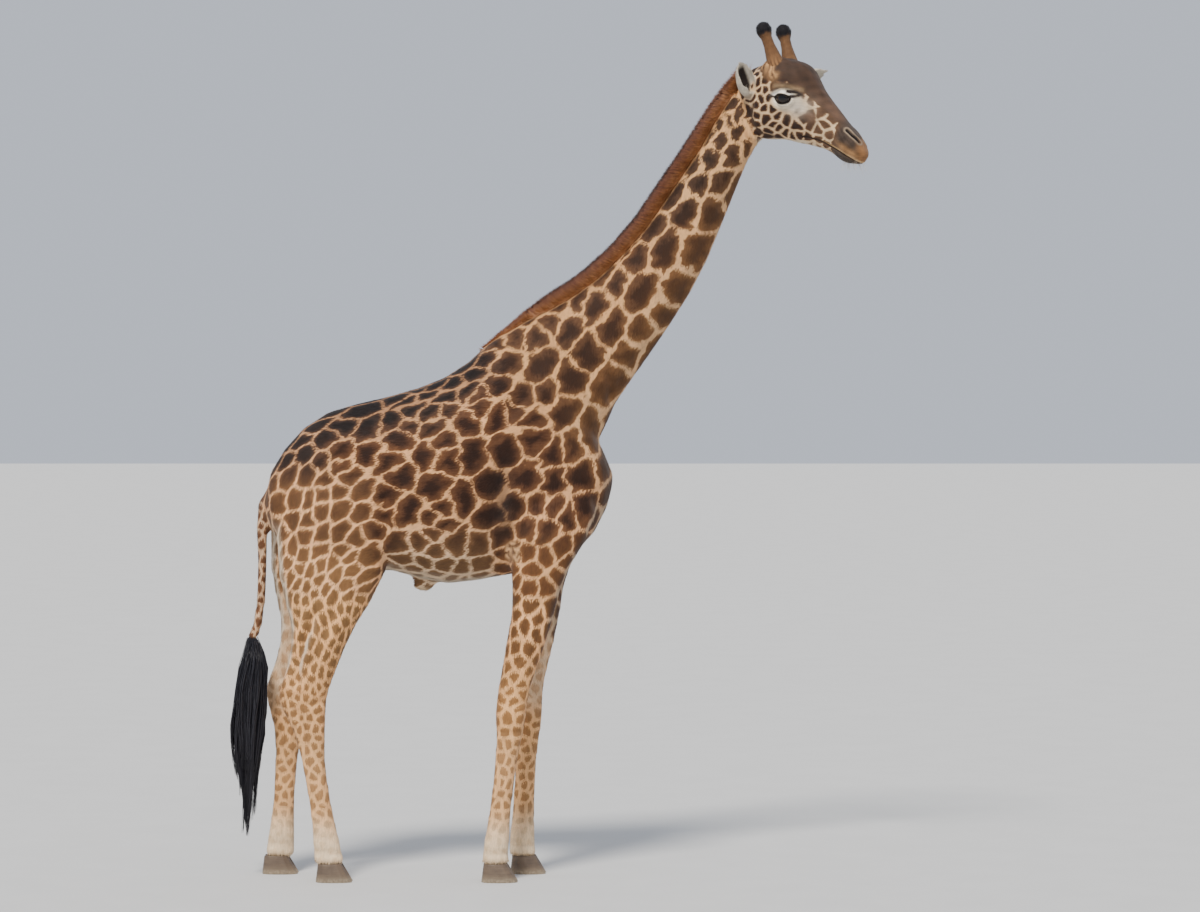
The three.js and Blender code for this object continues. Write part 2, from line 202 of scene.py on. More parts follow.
def corners_of(mesh):
    """The vertex of every face corner, and where each face's corners start and how many it has."""
    vertex = numbers(mesh.loops, "vertex_index", 1, np.int32)
    start = numbers(mesh.polygons, "loop_start", 1, np.int32)
    sides = numbers(mesh.polygons, "loop_total", 1, np.int32)
    return vertex, start, sides


def tree_over(mesh):
    """A search tree over the faces of a mesh."""
    return BVHTree.FromPolygons(points_of(mesh).tolist(), [list(face.vertices) for face in mesh.polygons])


def crosswise(way):
    """Two unit vectors square to a way and to each other."""
    across = unit(np.cross(way, [0, 1, 0] if abs(way[1]) < 0.6 else [1, 0, 0]))
    return across, np.cross(way, across)


def eyeball(side):
    """The middle and the radius of one eye, from its solid."""
    low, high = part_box("eye_left" if side > 0 else "eye_right")
    return (np.array(low) + np.array(high)) / 2, (high.z - low.z) / 2


def set_points(mesh, points):
    mesh.vertices.foreach_set("co", points.astype(np.float32).ravel())
    mesh.update()


def around(values, edges, rounds, weight=0.5):
    """Spreads values along the mesh's edges."""
    values = values.reshape(len(values), -1).astype(np.float64)
    count = np.maximum(np.bincount(edges.ravel(), minlength=len(values)), 1)[:, None]
    for _ in range(rounds):
        columns = []
        for k in range(values.shape[1]):
            one = np.bincount(edges[:, 0], values[edges[:, 1], k], len(values))
            other = np.bincount(edges[:, 1], values[edges[:, 0], k], len(values))
            columns.append(one + other)
        values = values + weight * (np.stack(columns, axis=1) / count - values)
    return values


def relaxed(points, edges, rounds, share=1.0):
    """Evens out facets without shrinking the shape: each round pulls in and then pushes back."""
    for _ in range(rounds):
        points = points + share * (around(points, edges, 1, 0.5) - points)
        points = points - share * (around(points, edges, 1, 0.52) - points)
    return points


def store(mesh, name, values, kind="FLOAT_VECTOR", domain="POINT"):
    key = {
        "FLOAT_VECTOR": "vector",
        "FLOAT_COLOR": "color",
        "FLOAT": "value",
        "INT": "value",
        "FLOAT2": "vector",
    }
    values = np.asarray(values)
    if kind == "FLOAT_COLOR":
        values = np.concatenate([values, np.ones((len(values), 1))], axis=1)
    made = mesh.attributes.new(name, kind, domain)
    made.data.foreach_set(key[kind], values.astype(np.int32 if kind == "INT" else np.float32).ravel())


def merged_nodes(names, grow):
    """Copies of some solids as one mesh, each grown a little so that the cuts between them close."""
    joined = bmesh.new()
    for name in names:
        part = bmesh.new()
        part.from_mesh(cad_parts[name].data)
        bmesh.ops.remove_doubles(part, verts=part.verts, dist=1e-6)
        part.normal_update()
        for vert in part.verts:
            vert.co += vert.normal * grow
        mesh = bpy.data.meshes.new("part")
        part.to_mesh(mesh)
        part.free()
        joined.from_mesh(mesh)
        bpy.data.meshes.remove(mesh)
    return joined


def voxelled(shape, cell):
    """The shape's outer surface as an even mesh of small squares."""
    mesh = bpy.data.meshes.new("voxelled")
    shape.to_mesh(mesh)
    shape.free()
    made = new_object("voxelled", mesh)
    remesh = made.modifiers.new("even", "REMESH")
    remesh.mode = "VOXEL"
    remesh.voxel_size = cell
    remesh.adaptivity = 0
    result = bpy.data.meshes.new_from_object(made.evaluated_get(bpy.context.evaluated_depsgraph_get()))
    bpy.data.objects.remove(made)
    return result


def cut_to(mesh, ahead, offset):
    """Keeps the side of the seam plane that is ahead of it, or behind it."""
    shape = bmesh.new()
    shape.from_mesh(mesh)
    way = Vector(SEAM_WAY).normalized()
    bmesh.ops.bisect_plane(
        shape,
        geom=shape.verts[:] + shape.edges[:] + shape.faces[:],
        plane_co=Vector(SEAM_POINT) + way * offset,
        plane_no=way,
        clear_inner=ahead,
        clear_outer=not ahead,
    )
    return shape


# Places on the head where the skin needs small facets: ahead, left, up, radius, and the longest
# facet edge there. The left side has the same.
FINE_PLACES = [
    (0.262, -0.118, 3.885, 0.064, 4.2 * MM),
    (0.262, -0.118, 3.885, 0.056, 2.1 * MM),
    (0.605, -0.045, 3.700, 0.042, 3.8 * MM),
    (0.605, -0.045, 3.700, 0.030, 2.4 * MM),
    (0.600, -0.030, 3.590, 0.050, 3.8 * MM),
    (0.520, -0.035, 3.630, 0.050, 3.8 * MM),
]


def refined(shape):
    """Halves the facets round the eyes, nostrils and lips."""
    for ahead, left, z, radius, longest in FINE_PLACES:
        for side in (-1, 1):
            centre = Vector(on_head(ahead, -left * side, z))
            near = [e for e in shape.edges if (e.verts[0].co - centre).length < radius]
            near = [e for e in near if e.calc_length() > longest]
            bmesh.ops.subdivide_edges(shape, edges=near, cuts=1, use_grid_fill=True)
    bmesh.ops.triangulate(shape, faces=[face for face in shape.faces if len(face.verts) > 4])


def base_skin():
    """The flesh as one closed mesh: coarse squares on the body, fine ones on the head."""
    grow = 0.5 * MM
    body = voxelled(merged_nodes(BODY_NODES, grow), BODY_CELL)
    head = voxelled(merged_nodes(HEAD_NODES, grow), FACE_CELL)
    set_points(body, relaxed(points_of(body), edges_of(body), 16))
    ahead, side, z = head_coordinates(points_of(head))
    is_ear = around(ear_share(ahead, side, z), edges_of(head), 3)
    set_points(head, relaxed(points_of(head), edges_of(head), 40, 1 - 0.9 * is_ear))
    lower = cut_to(body, False, 0)
    upper = cut_to(head, True, SEAM_GAP)
    refined(upper)
    piece = bpy.data.meshes.new("piece")
    upper.to_mesh(piece)
    upper.free()
    lower.from_mesh(piece)
    bpy.data.meshes.remove(piece)
    rim = [edge for edge in lower.edges if edge.is_boundary]
    bmesh.ops.bridge_loops(lower, edges=rim)
    bmesh.ops.triangulate(lower, faces=[face for face in lower.faces if len(face.verts) > 4])
    bmesh.ops.recalc_face_normals(lower, faces=lower.faces)
    skin = bpy.data.meshes.new("skin")
    lower.to_mesh(skin)
    lower.free()
    points = points_of(skin)
    near_seam = bump((points - SEAM_POINT) @ unit(SEAM_WAY), 0.05)[:, None]
    set_points(skin, relaxed(points, edges_of(skin), 12, near_seam))
    return skin


# ------------------------------------------------------------------ the forms of the body

# Each swelling or hollow of the sides: x, z, half its length, half its height, degrees that its
# length is turned upwards at the front, and how far it stands out.
BODY_FORMS = [
    (0.24, 2.02, 0.10, 0.10, 0, 16 * MM),  # point of the shoulder
    (-0.02, 1.92, 0.13, 0.17, 15, 14 * MM),  # the muscle behind the upper arm
    (-0.10, 2.34, 0.26, 0.045, 52, 9 * MM),  # ridge of the shoulder blade
    (-0.20, 2.30, 0.20, 0.05, 55, -6 * MM),
    (-0.235, 1.93, 0.16, 0.042, 80, -30 * MM),  # hollow behind the elbow
    (-0.25, 1.72, 0.12, 0.04, 95, -12 * MM),
    (-0.14, 1.66, 0.06, 0.05, 0, 8 * MM),  # elbow
    (0.10, 1.62, 0.05, 0.12, 0, 6 * MM),
    (-1.05, 2.20, 0.09, 0.07, -20, 13 * MM),  # hip
    (-0.93, 2.04, 0.10, 0.09, 0, -9 * MM),
    (-1.14, 1.88, 0.14, 0.20, 0, 12 * MM),  # thigh
    (-0.84, 1.66, 0.08, 0.09, 0, 9 * MM),  # stifle
    (-0.71, 1.98, 0.06, 0.15, 0, -9 * MM),  # flank
    (-1.30, 2.10, 0.05, 0.10, 0, -7 * MM),
]
NECK_FURROW = [
    (0.96, 3.55), (0.90, 3.39), (0.82, 3.25), (0.75, 3.09), (0.68, 2.93), (0.55, 2.73),
    (0.43, 2.57), (0.31, 2.41),
]
# Grooves along lines on the sides: the line's x and z, half its width, and its depth.
BODY_GROOVES = [
    ([(-0.765, 1.97), (-0.775, 1.86), (-0.80, 1.70)], 0.018, 13 * MM),  # fold of the flank
    (NECK_FURROW, 0.026, 8 * MM),
    ([(0.21, 2.46), (0.27, 2.26), (0.265, 2.12)], 0.022, 7 * MM),  # where the neck meets the chest
    ([(0.30, 2.52), (0.33, 2.34), (0.31, 2.20)], 0.016, 5 * MM),
    ([(-1.31, 1.92), (-1.26, 1.68), (-1.20, 1.42), (-1.22, 1.18)], 0.026, 8 * MM),  # back of the thigh
    ([(-1.00, 1.52), (-1.08, 1.30), (-1.17, 1.08)], 0.020, 5 * MM),
    ([(-0.02, 1.52), (-0.05, 1.25), (-0.08, 1.05)], 0.016, 4 * MM),
]
# The same for the sides of the head, with the place ahead of the pivot in the place of x.
HEAD_FORMS = [
    (0.262, 3.950, 0.056, 0.013, -8, 5 * MM),  # brow
    (0.270, 3.832, 0.050, 0.012, -10, 2.5 * MM),  # fold under the eye
    (0.372, 3.862, 0.035, 0.026, -20, -4 * MM),  # hollow before the eye
    (0.370, 3.805, 0.085, 0.014, -24, 4 * MM),  # cheek bone
    (0.150, 3.800, 0.060, 0.055, 0, 4 * MM),  # jaw muscle
    (0.190, 3.968, 0.045, 0.024, 0, -4 * MM),  # temple
    (0.505, 3.725, 0.055, 0.030, -26, -4 * MM),
    (0.590, 3.625, 0.050, 0.014, -32, 3 * MM),  # upper lip
    (0.440, 3.640, 0.090, 0.012, -22, 2 * MM),  # lower lip
    (0.560, 3.580, 0.046, 0.013, -24, 5 * MM),  # chin
]
MOUTH = [
    (0.325, 3.700), (0.360, 3.694), (0.398, 3.685), (0.452, 3.664), (0.491, 3.644), (0.541, 3.618),
    (0.585, 3.592), (0.619, 3.570), (0.650, 3.556),
]
# The slit of a nostril: ahead, out to its side, up.
NOSTRIL = [
    (0.583, 0.047, 3.722), (0.597, 0.049, 3.714), (0.611, 0.047, 3.698), (0.627, 0.038, 3.682),
    (0.641, 0.030, 3.666),
]
JAW = [(0.082, 3.862), (0.062, 3.800), (0.078, 3.746), (0.111, 3.714), (0.160, 3.703)]
HEAD_GROOVES = [
    (MOUTH, 0.0045, 5 * MM),
    (JAW, 0.011, 8 * MM),
    ([(0.050, 3.850), (0.032, 3.790), (0.048, 3.722), (0.088, 3.682)], 0.009, 6 * MM),
    ([(0.026, 3.840), (0.008, 3.780), (0.022, 3.706), (0.060, 3.662)], 0.009, 5 * MM),
    ([(0.540, 3.745), (0.556, 3.715), (0.574, 3.684), (0.604, 3.656)], 0.006, 2.5 * MM),
]
# The forms of the legs, with the distance ahead of the leg's middle line in the place of x.
FORELEG_FORMS = [
    (0.012, 0.815, 0.045, 0.052, 0, 7 * MM),  # knee
    (-0.056, 0.835, 0.022, 0.040, 0, 6 * MM),  # the bone behind the knee
    (0.030, 1.20, 0.045, 0.13, 6, 7 * MM),  # muscles of the forearm
    (-0.050, 1.24, 0.040, 0.13, 4, 6 * MM),
    (0.0, 0.205, 0.060, 0.036, 0, 5 * MM),  # fetlock
    (-0.045, 0.200, 0.024, 0.028, 0, 5 * MM),
]
FORELEG_GROOVES = [
    ([(-0.016, 0.71), (-0.016, 0.45), (-0.018, 0.27)], 0.013, 8 * MM),  # before the tendons
    ([(-0.010, 1.36), (-0.014, 1.10), (-0.020, 0.92)], 0.016, 8 * MM),
    ([(-0.060, 0.752), (0.0, 0.738), (0.055, 0.752)], 0.014, 4 * MM),
    ([(-0.065, 0.892), (0.0, 0.888), (0.065, 0.900)], 0.014, 4 * MM),
    ([(-0.05, 0.148), (0.05, 0.145)], 0.014, 4 * MM),
]
HINDLEG_FORMS = [
    (0.045, 0.970, 0.050, 0.065, 0, 8 * MM),  # hock
    (-0.090, 0.975, 0.030, 0.050, 0, 6 * MM),  # the point of the hock
    (0.050, 1.23, 0.050, 0.13, -20, 9 * MM),
    (0.0, 0.210, 0.060, 0.036, 0, 5 * MM),
    (-0.045, 0.200, 0.024, 0.028, 0, 5 * MM),
]
HINDLEG_GROOVES = [
    # before the great tendon
    ([(-0.056, 1.38), (-0.074, 1.20), (-0.072, 1.07), (-0.056, 1.00)], 0.022, 18 * MM),
    ([(-0.034, 0.86), (-0.022, 0.66), (-0.016, 0.45), (-0.016, 0.28)], 0.013, 8 * MM),
    ([(0.0, 0.885), (0.09, 0.900)], 0.016, 5 * MM),
    ([(-0.05, 0.152), (0.05, 0.145)], 0.014, 4 * MM),
]
EYE_TILT = math.radians(-7)
LID_HALF = 0.043
LID_UP = 0.0175
LID_DOWN = 0.027
LID_THICKNESS = 3.5 * MM


def to_line(a, b, line):
    """How far points a, b of a side drawing lie from a line of straight pieces."""
    nearest = np.full(len(a), 9.0)
    for (a0, b0), (a1, b1) in zip(line, line[1:]):
        along = np.array([a1 - a0, b1 - b0])
        t = np.clip(((a - a0) * along[0] + (b - b0) * along[1]) / (along @ along), 0, 1)
        nearest = np.minimum(nearest, np.hypot(a - a0 - t * along[0], b - b0 - t * along[1]))
    return nearest


def to_nostrils(mesh):
    """How far the points of the skin lie from the nearer nostril's slit."""
    points = points_of(mesh)
    tree = tree_over(mesh)
    nearest = np.full(len(points), 9.0)
    for side in (-1, 1):
        path = [on_head(ahead, side * out, z) for ahead, out, z in NOSTRIL]
        path = [np.array(tree.find_nearest(Vector(place))[0]) for place in path]
        for start, end in zip(path, path[1:]):
            way = end - start
            t = np.clip((points - start) @ way / (way @ way), 0, 1)
            nearest = np.minimum(nearest, np.linalg.norm(points - start - t[:, None] * way, axis=1))
    return nearest


def side_relief(a, b, forms, grooves):
    """How far the side of the body or head stands out at each a, b of its side drawing."""
    out = np.zeros(len(a))
    for at_a, at_b, half_a, half_b, turned, amount in forms:
        turn = math.radians(turned)
        u = (a - at_a) * math.cos(turn) + (b - at_b) * math.sin(turn)
        v = (b - at_b) * math.cos(turn) - (a - at_a) * math.sin(turn)
        out += amount * np.exp(-((u / half_a) ** 2) - (v / half_b) ** 2)
    for line, half, deep in grooves:
        distance = to_line(a, b, line)
        out += deep * (0.35 * bump(distance - 2.2 * half, half) - bump(distance, half))
    return out


def leg_relief(points):
    """The relief of the four legs, each along its own middle line."""
    out = np.zeros(len(points))
    for foot in FEET:
        solids = [points_of(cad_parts[f"leg_{foot}_{part}"].data) for part in ("upper", "lower")]
        corners = np.concatenate(solids)
        levels = np.array(sorted(set(np.round(corners[:, 2] / 0.06).astype(int))))
        near = [corners[np.round(corners[:, 2] / 0.06) == level, 0] for level in levels]
        line = np.array([(some.max() + some.min()) / 2 for some in near])
        left = "left" in foot
        fore = "front" in foot
        mine = ((points[:, 1] > MID_Y) == left) & ((points[:, 0] > ZERO_X - 0.5) == fore)
        forms, grooves = (FORELEG_FORMS, FORELEG_GROOVES) if fore else (HINDLEG_FORMS, HINDLEG_GROOVES)
        ahead = points[:, 0] - np.interp(points[:, 2], levels * 0.06, line)
        found = side_relief(ahead, points[:, 2], forms, grooves)
        out = np.where(mine, found, out)
    return out * ramp(-points[:, 2], -1.40, -1.30)


def lid_margin():
    """The edge of the opening between the lids, along the eye and up."""
    turn = np.linspace(0, 2 * np.pi, 121)[:-1]
    along = LID_HALF * np.cos(turn)
    height = np.where(np.sin(turn) > 0, LID_UP, LID_DOWN)
    up = np.sign(np.sin(turn)) * np.abs(np.sin(turn)) ** 1.25 * height
    return along, up


def lidded(points, side):
    """Draws the skin over the eyeball as two lids with an opening, and returns where they are."""
    centre, radius = eyeball(side)
    away = points - centre
    u0 = away @ HEAD_AHEAD
    w0 = away[:, 2]
    n0 = side * (away @ HEAD_LEFT)
    u = u0 * math.cos(EYE_TILT) + w0 * math.sin(EYE_TILT)
    w = w0 * math.cos(EYE_TILT) - u0 * math.sin(EYE_TILT)
    near = (n0 > -0.005) & (np.hypot(u, w) < 0.085)
    picked = np.where(near)[0]
    u, w, n = u[picked], w[picked], n0[picked]
    edge_u, edge_w = lid_margin()
    gap = np.hypot(u[:, None] - edge_u, w[:, None] - edge_w)
    nearest = gap.argmin(axis=1)
    height = np.where(w > 0, LID_UP, LID_DOWN)
    rise = np.clip(1 - (u / LID_HALF) ** 2, 0, 1) ** 0.62
    inside = (np.abs(u) < LID_HALF) & (np.abs(w) < height * rise)
    distance = gap.min(axis=1) * np.where(inside, -1, 1)
    snap = np.abs(distance) < 0.8 * MM
    u = np.where(snap, edge_u[nearest], u)
    w = np.where(snap, edge_w[nearest], w)
    distance = np.where(snap, 0, distance)
    lid = np.sqrt(np.maximum((radius + LID_THICKNESS) ** 2 - u * u - w * w, 0.0004))
    share = 1 - ramp(distance, 0.010, 0.034)
    n = n + share * (lid - n)
    n = n - (distance < -0.2 * MM) * (LID_THICKNESS + 7 * MM) * ramp(-distance, 0, 0.003)
    upper = ramp(w, 0.0, 0.01)
    n = n - 3.2 * MM * upper * bump(
        distance - 0.0150, 0.0028
    ) + 1.8 * MM * upper * bump(distance - 0.008, 0.005)
    n = n - 1.6 * MM * (1 - upper) * bump(distance - 0.0100, 0.0022)
    n = n - 1.2 * MM * (1 - upper) * bump(distance - 0.0180, 0.0030)
    moved = points.copy()
    u1 = u * math.cos(EYE_TILT) - w * math.sin(EYE_TILT)
    w1 = w * math.cos(EYE_TILT) + u * math.sin(EYE_TILT)
    moved[picked] = centre + u1[:, None] * HEAD_AHEAD + (side * n)[:, None] * HEAD_LEFT + w1[:, None] * UP
    from_lids = np.full(len(points), 1.0)
    from_lids[picked] = distance
    return moved, from_lids


def shaped_skin():
    """The base skin, drawn in by the coat's depth and given its muscles, folds and lids."""
    skin = base_skin()
    points = points_of(skin)
    normals = normals_of(skin)
    x = points[:, 0] - ZERO_X
    z = points[:, 2]
    ahead, side, _ = head_coordinates(points)
    face = ramp(ahead, -0.02, 0.05) * (z > 3.5)
    ear = ear_share(ahead, side, z) * face
    depth = BODY_COAT + (FACE_COAT - BODY_COAT) * np.maximum(face, ramp(-z, -0.9, -0.3))
    depth = depth * (1 - 0.5 * ear)
    sideways = ramp(np.abs(normals[:, 1]), 0.25, 0.7) * (1 - face)
    out = side_relief(x, z, BODY_FORMS, BODY_GROOVES) * sideways * ramp(z, 0.9, 1.1)
    out += leg_relief(points) * ramp(np.abs(normals[:, 1]), 0.15, 0.6)
    rib = np.sin((x * 0.96 + z * 0.28) * 2 * np.pi / 0.074)
    out += 2.2 * MM * rib * sideways * bump(np.hypot((x + 0.50) / 1.3, z - 1.93), 0.2)
    head_sideways = ramp(np.abs(normals @ HEAD_LEFT), 0.15, 0.6) * face * (1 - ear)
    out += side_relief(ahead, z, HEAD_FORMS, HEAD_GROOVES) * head_sideways
    slit = to_nostrils(skin)
    wide = 0.0055 + 0.0035 * ramp(z, 3.680, 3.712)
    out += (2.5 * MM * bump(slit - 0.017, 0.008) - 15 * MM * bump(slit, wide)) * face
    points = points + normals * (out - depth)[:, None]
    for which in (-1, 1):
        up, forward, left, axis = horn_coordinates(points, which)
        mound = (1 - ramp(np.hypot(forward, left), 0.036, 0.088)) * (np.abs(up) < 0.10) * (1 - ear)
        points = points + 20 * MM * mound[:, None] * axis
    from_lids = np.full(len(points), 1.0)
    for which in (-1, 1):
        points, found = lidded(points, which)
        from_lids = np.minimum(from_lids, found)
    set_points(skin, points)
    return skin, from_lids, slit


# ------------------------------------------------------------------ markings and the lie of the coat

# The middle of each large patch on the right side, as a point of the frame, across and down.
NECK_PATCHES = [
    (733, 104), (729, 118), (720, 124), (712, 133), (737, 133), (721, 139), (738, 113), (734, 152),
    (711, 158), (695, 165), (702, 180), (722, 182), (731, 192), (674, 195), (686, 210), (713, 212),
    (653, 228), (664, 248), (700, 247), (637, 255), (616, 281), (642, 293), (676, 293), (664, 311),
    (595, 305), (613, 328), (641, 332), (631, 352), (587, 355), (613, 382), (568, 325), (538, 333),
    (550, 322), (576, 303), (539, 366), (572, 378), (508, 362), (487, 358), (513, 338), (502, 343),
    (497, 386), (545, 394), (525, 399), (750, 143), (562, 307), (606, 273),
]
TRUNK_PATCHES = [
    (562, 412), (517, 410), (533, 418), (499, 415), (467, 420), (480, 407), (536, 437), (555, 450),
    (572, 448), (590, 434), (580, 475), (606, 466), (553, 484), (555, 507), (527, 480), (518, 505),
    (536, 504), (507, 450), (470, 456), (428, 454), (447, 459), (442, 440), (432, 428), (402, 437),
    (367, 455), (368, 426), (393, 419), (412, 410), (446, 411), (431, 412), (411, 426), (345, 427),
    (328, 438), (340, 454), (323, 463), (341, 467), (326, 479), (308, 475), (350, 477), (361, 490),
    (322, 495), (341, 491), (385, 497), (390, 462), (400, 474), (434, 487), (464, 500), (489, 487),
    (491, 514), (409, 511), (442, 508), (431, 518), (441, 524), (433, 534), (456, 544), (479, 546),
    (501, 537), (420, 542), (527, 528), (546, 531), (566, 515), (585, 507), (561, 550), (362, 512),
    (382, 513), (342, 508), (320, 511), (298, 500), (309, 500), (294, 519), (308, 521), (322, 535),
    (341, 532), (306, 536), (372, 530), (288, 475), (286, 463), (303, 438), (313, 428), (330, 413),
    (472, 375), (455, 383), (470, 391), (448, 396), (480, 395), (435, 386), (425, 395), (418, 391),
    (405, 396), (412, 399), (425, 563), (445, 566), (462, 568), (480, 565), (405, 560), (436, 552),
    (400, 545),
]
HEAD_PATCHES = [
    (756, 105), (756, 116), (764, 108), (766, 119), (772, 109), (778, 117), (785, 121), (796, 126),
    (810, 126), (778, 129), (785, 134), (793, 138), (808, 139), (770, 133), (774, 126), (760, 90),
    (765, 81), (764, 91), (757, 75), (766, 73), (752, 98), (820, 112), (832, 120), (825, 126),
    (810, 103),
]
# Four more spots that break up the plain stretches: ahead of the pivot, and up.
MORE_HEAD_PATCHES = [(0.14, 3.885), (0.12, 3.97), (0.31, 3.695), (0.42, 3.68)]


class Skin:
    """The skin's points with all that its markings and coat depend on."""

    def __init__(self, mesh, from_lids, from_nostril):
        self.mesh = mesh
        self.points = points_of(mesh)
        self.normals = normals_of(mesh)
        self.edges = edges_of(mesh)
        self.from_lids = from_lids
        self.from_nostril = from_nostril
        self.x = self.points[:, 0] - ZERO_X
        self.y = self.points[:, 1] - MID_Y
        self.z = self.points[:, 2]
        self.ahead, self.left, _ = head_coordinates(self.points)
        names, self.part = self.nearest_parts()
        self.is_tail = self.share_of(names, ["tail"])
        self.is_leg = self.share_of(names, [name for name in names if name.startswith("leg")])
        self.is_ear = self.share_of(names, ["ear_right", "ear_left"])
        self.is_head = self.share_of(names, ["head", "ear_right", "ear_left"])
        neck_line = (self.x + 0.33) * 0.70 + (self.z - 2.62) * 0.71
        self.is_neck = ramp(neck_line, -0.10, 0.15) * (1 - self.is_head)
        self.names = names
        tree = tree_over(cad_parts["mane"].data)
        self.to_mane = np.array([tree.find_nearest(Vector(p))[3] for p in self.points])

    def nearest_parts(self):
        """The solid that each point of the skin stands for."""
        names = list(FLESH_NODES)
        corners, faces, owner = [], [], []
        for k, name in enumerate(names):
            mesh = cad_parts[name].data
            start = len(corners)
            corners += [vert.co.copy() for vert in mesh.vertices]
            faces += [[start + i for i in face.vertices] for face in mesh.polygons]
            owner += [k] * len(mesh.polygons)
        tree = BVHTree.FromPolygons(corners, faces)
        return names, np.array([owner[tree.find_nearest(Vector(p))[2]] for p in self.points])

    def share_of(self, names, wanted):
        share = np.isin(self.part, [names.index(name) for name in wanted]).astype(float)
        return around(share, self.edges, 2)[:, 0]

    def comb(self):
        """Which way the hair lies at each point."""
        x, z, n = self.x, self.z, self.normals
        way = np.zeros_like(self.points) + np.array([-0.92, 0, -0.38])

        def turn(share, towards):
            nonlocal way
            way = way + share[:, None] * (np.asarray(towards) - way)

        turn(ramp(x, -0.45, -0.05) * ramp(-z, -2.45, -2.0), [-0.55, 0, -0.84])
        turn(ramp(-x, 0.85, 1.15) * ramp(-z, -2.25, -1.9), [-0.4, 0, -0.92])
        turn(ramp(-n[:, 2], 0.3, 0.8), [-1, 0, -0.1])
        turn(self.is_neck, [-0.5, 0, -0.86])
        turn(np.maximum(self.is_leg, self.is_tail), [-0.08, 0, -1])
        turn(self.is_head * ramp(-self.ahead, -0.30, 0.0), -0.8 * HEAD_AHEAD - 0.6 * UP)
        turn(self.is_head * ramp(self.ahead, 0.10, 0.30), -HEAD_AHEAD + 0.12 * UP)
        for side, (_, tip, _) in EARS.items():
            turn(self.is_ear * (self.left * side > 0), unit(on_head(*tip) - HEAD_PIVOT))
        way = unit(way) + 0.10 * wander(self.points, 0.35, np.random.default_rng(SEED))
        whorl = np.array([ZERO_X - 0.188, 0, 1.652])
        from_whorl = (self.points - whorl) * np.array([1, 0, 1])
        circling = unit(np.cross(from_whorl, [0, 1, 0]))
        close = bump(np.linalg.norm(from_whorl, axis=1), 0.055) * ramp(np.abs(n[:, 1]), 0.3, 0.7)
        way = way + close[:, None] * (circling - way)
        return unit(way - (way * n).sum(axis=1)[:, None] * n)

    def paint(self):
        """The colours between and within the patches, and each patch's plan: half the width of
        the line round it, how dark its middle is, and its size."""
        count = len(self.x)
        ground = np.zeros((count, 3)) + tint(222, 168, 116)
        patch = np.zeros((count, 3)) + tint(98, 62, 37)
        plan = np.zeros((count, 3)) + np.array([0.0038, 0.95, 0.17])
        stretch = np.full(count, 1.1)

        def zone(share, between=None, within=None, line=None, core=None, size=None, long=None):
            nonlocal ground, patch, plan, stretch
            wide = share[:, None]
            if between is not None:
                ground = ground + wide * (tint(*between) - ground)
            if within is not None:
                patch = patch + wide * (tint(*within) - patch)
            for k, value in enumerate((line, core, size)):
                if value is not None:
                    plan[:, k] += share * (value - plan[:, k])
            if long is not None:
                stretch = stretch + share * (long - stretch)

        self.paint_neck_and_back(zone)
        self.paint_haunch_and_belly(zone)
        self.paint_legs(zone)
        self.paint_chest(zone)
        zone(self.is_tail, (206, 170, 134), (112, 74, 48), 0.0048, 0.3, 0.040, 1.2)
        self.paint_head(zone)
        self.paint_ears(zone)
        crest = bump(self.to_mane - 0.007, 0.006) * self.is_neck
        zone(crest, (226, 178, 128), (214, 164, 112), 0.02, 0.0, 0.1)
        rng = np.random.default_rng(SEED + 4)
        blotches = wander(self.points, 0.045, rng, 14)[:, :1] * (0.06 + 0.10 * self.is_head[:, None])
        broad = wander(self.points, 0.30, rng)[:, :1] * 0.06
        bright = np.clip(1 + blotches + broad, 0.6, 1.4)
        return ground * (1 + 0.5 * (bright - 1)), patch * bright, plan, stretch

    def paint_neck_and_back(self, zone):
        x, z, n = self.x, self.z, self.normals
        zone(self.is_neck, (214, 162, 108), (98, 65, 40), 0.0066, 0.85, 0.165, 1.35)
        zone(self.is_neck * ramp(z, 3.1, 3.5), (220, 170, 116), (76, 52, 35))
        throat = self.is_neck * ramp(0.83 * x - 0.55 * (z - 3.0), 0.36, 0.60)
        zone(throat, (214, 172, 126), (120, 82, 48), 0.0120, 0.6, 0.15)
        back = ramp(n[:, 2], 0.15, 0.62) * (1 - self.is_neck) * (z > 1.9)
        zone(back, (176, 128, 88), (60, 42, 32), 0.0036, 1.0, 0.105, 1.8)

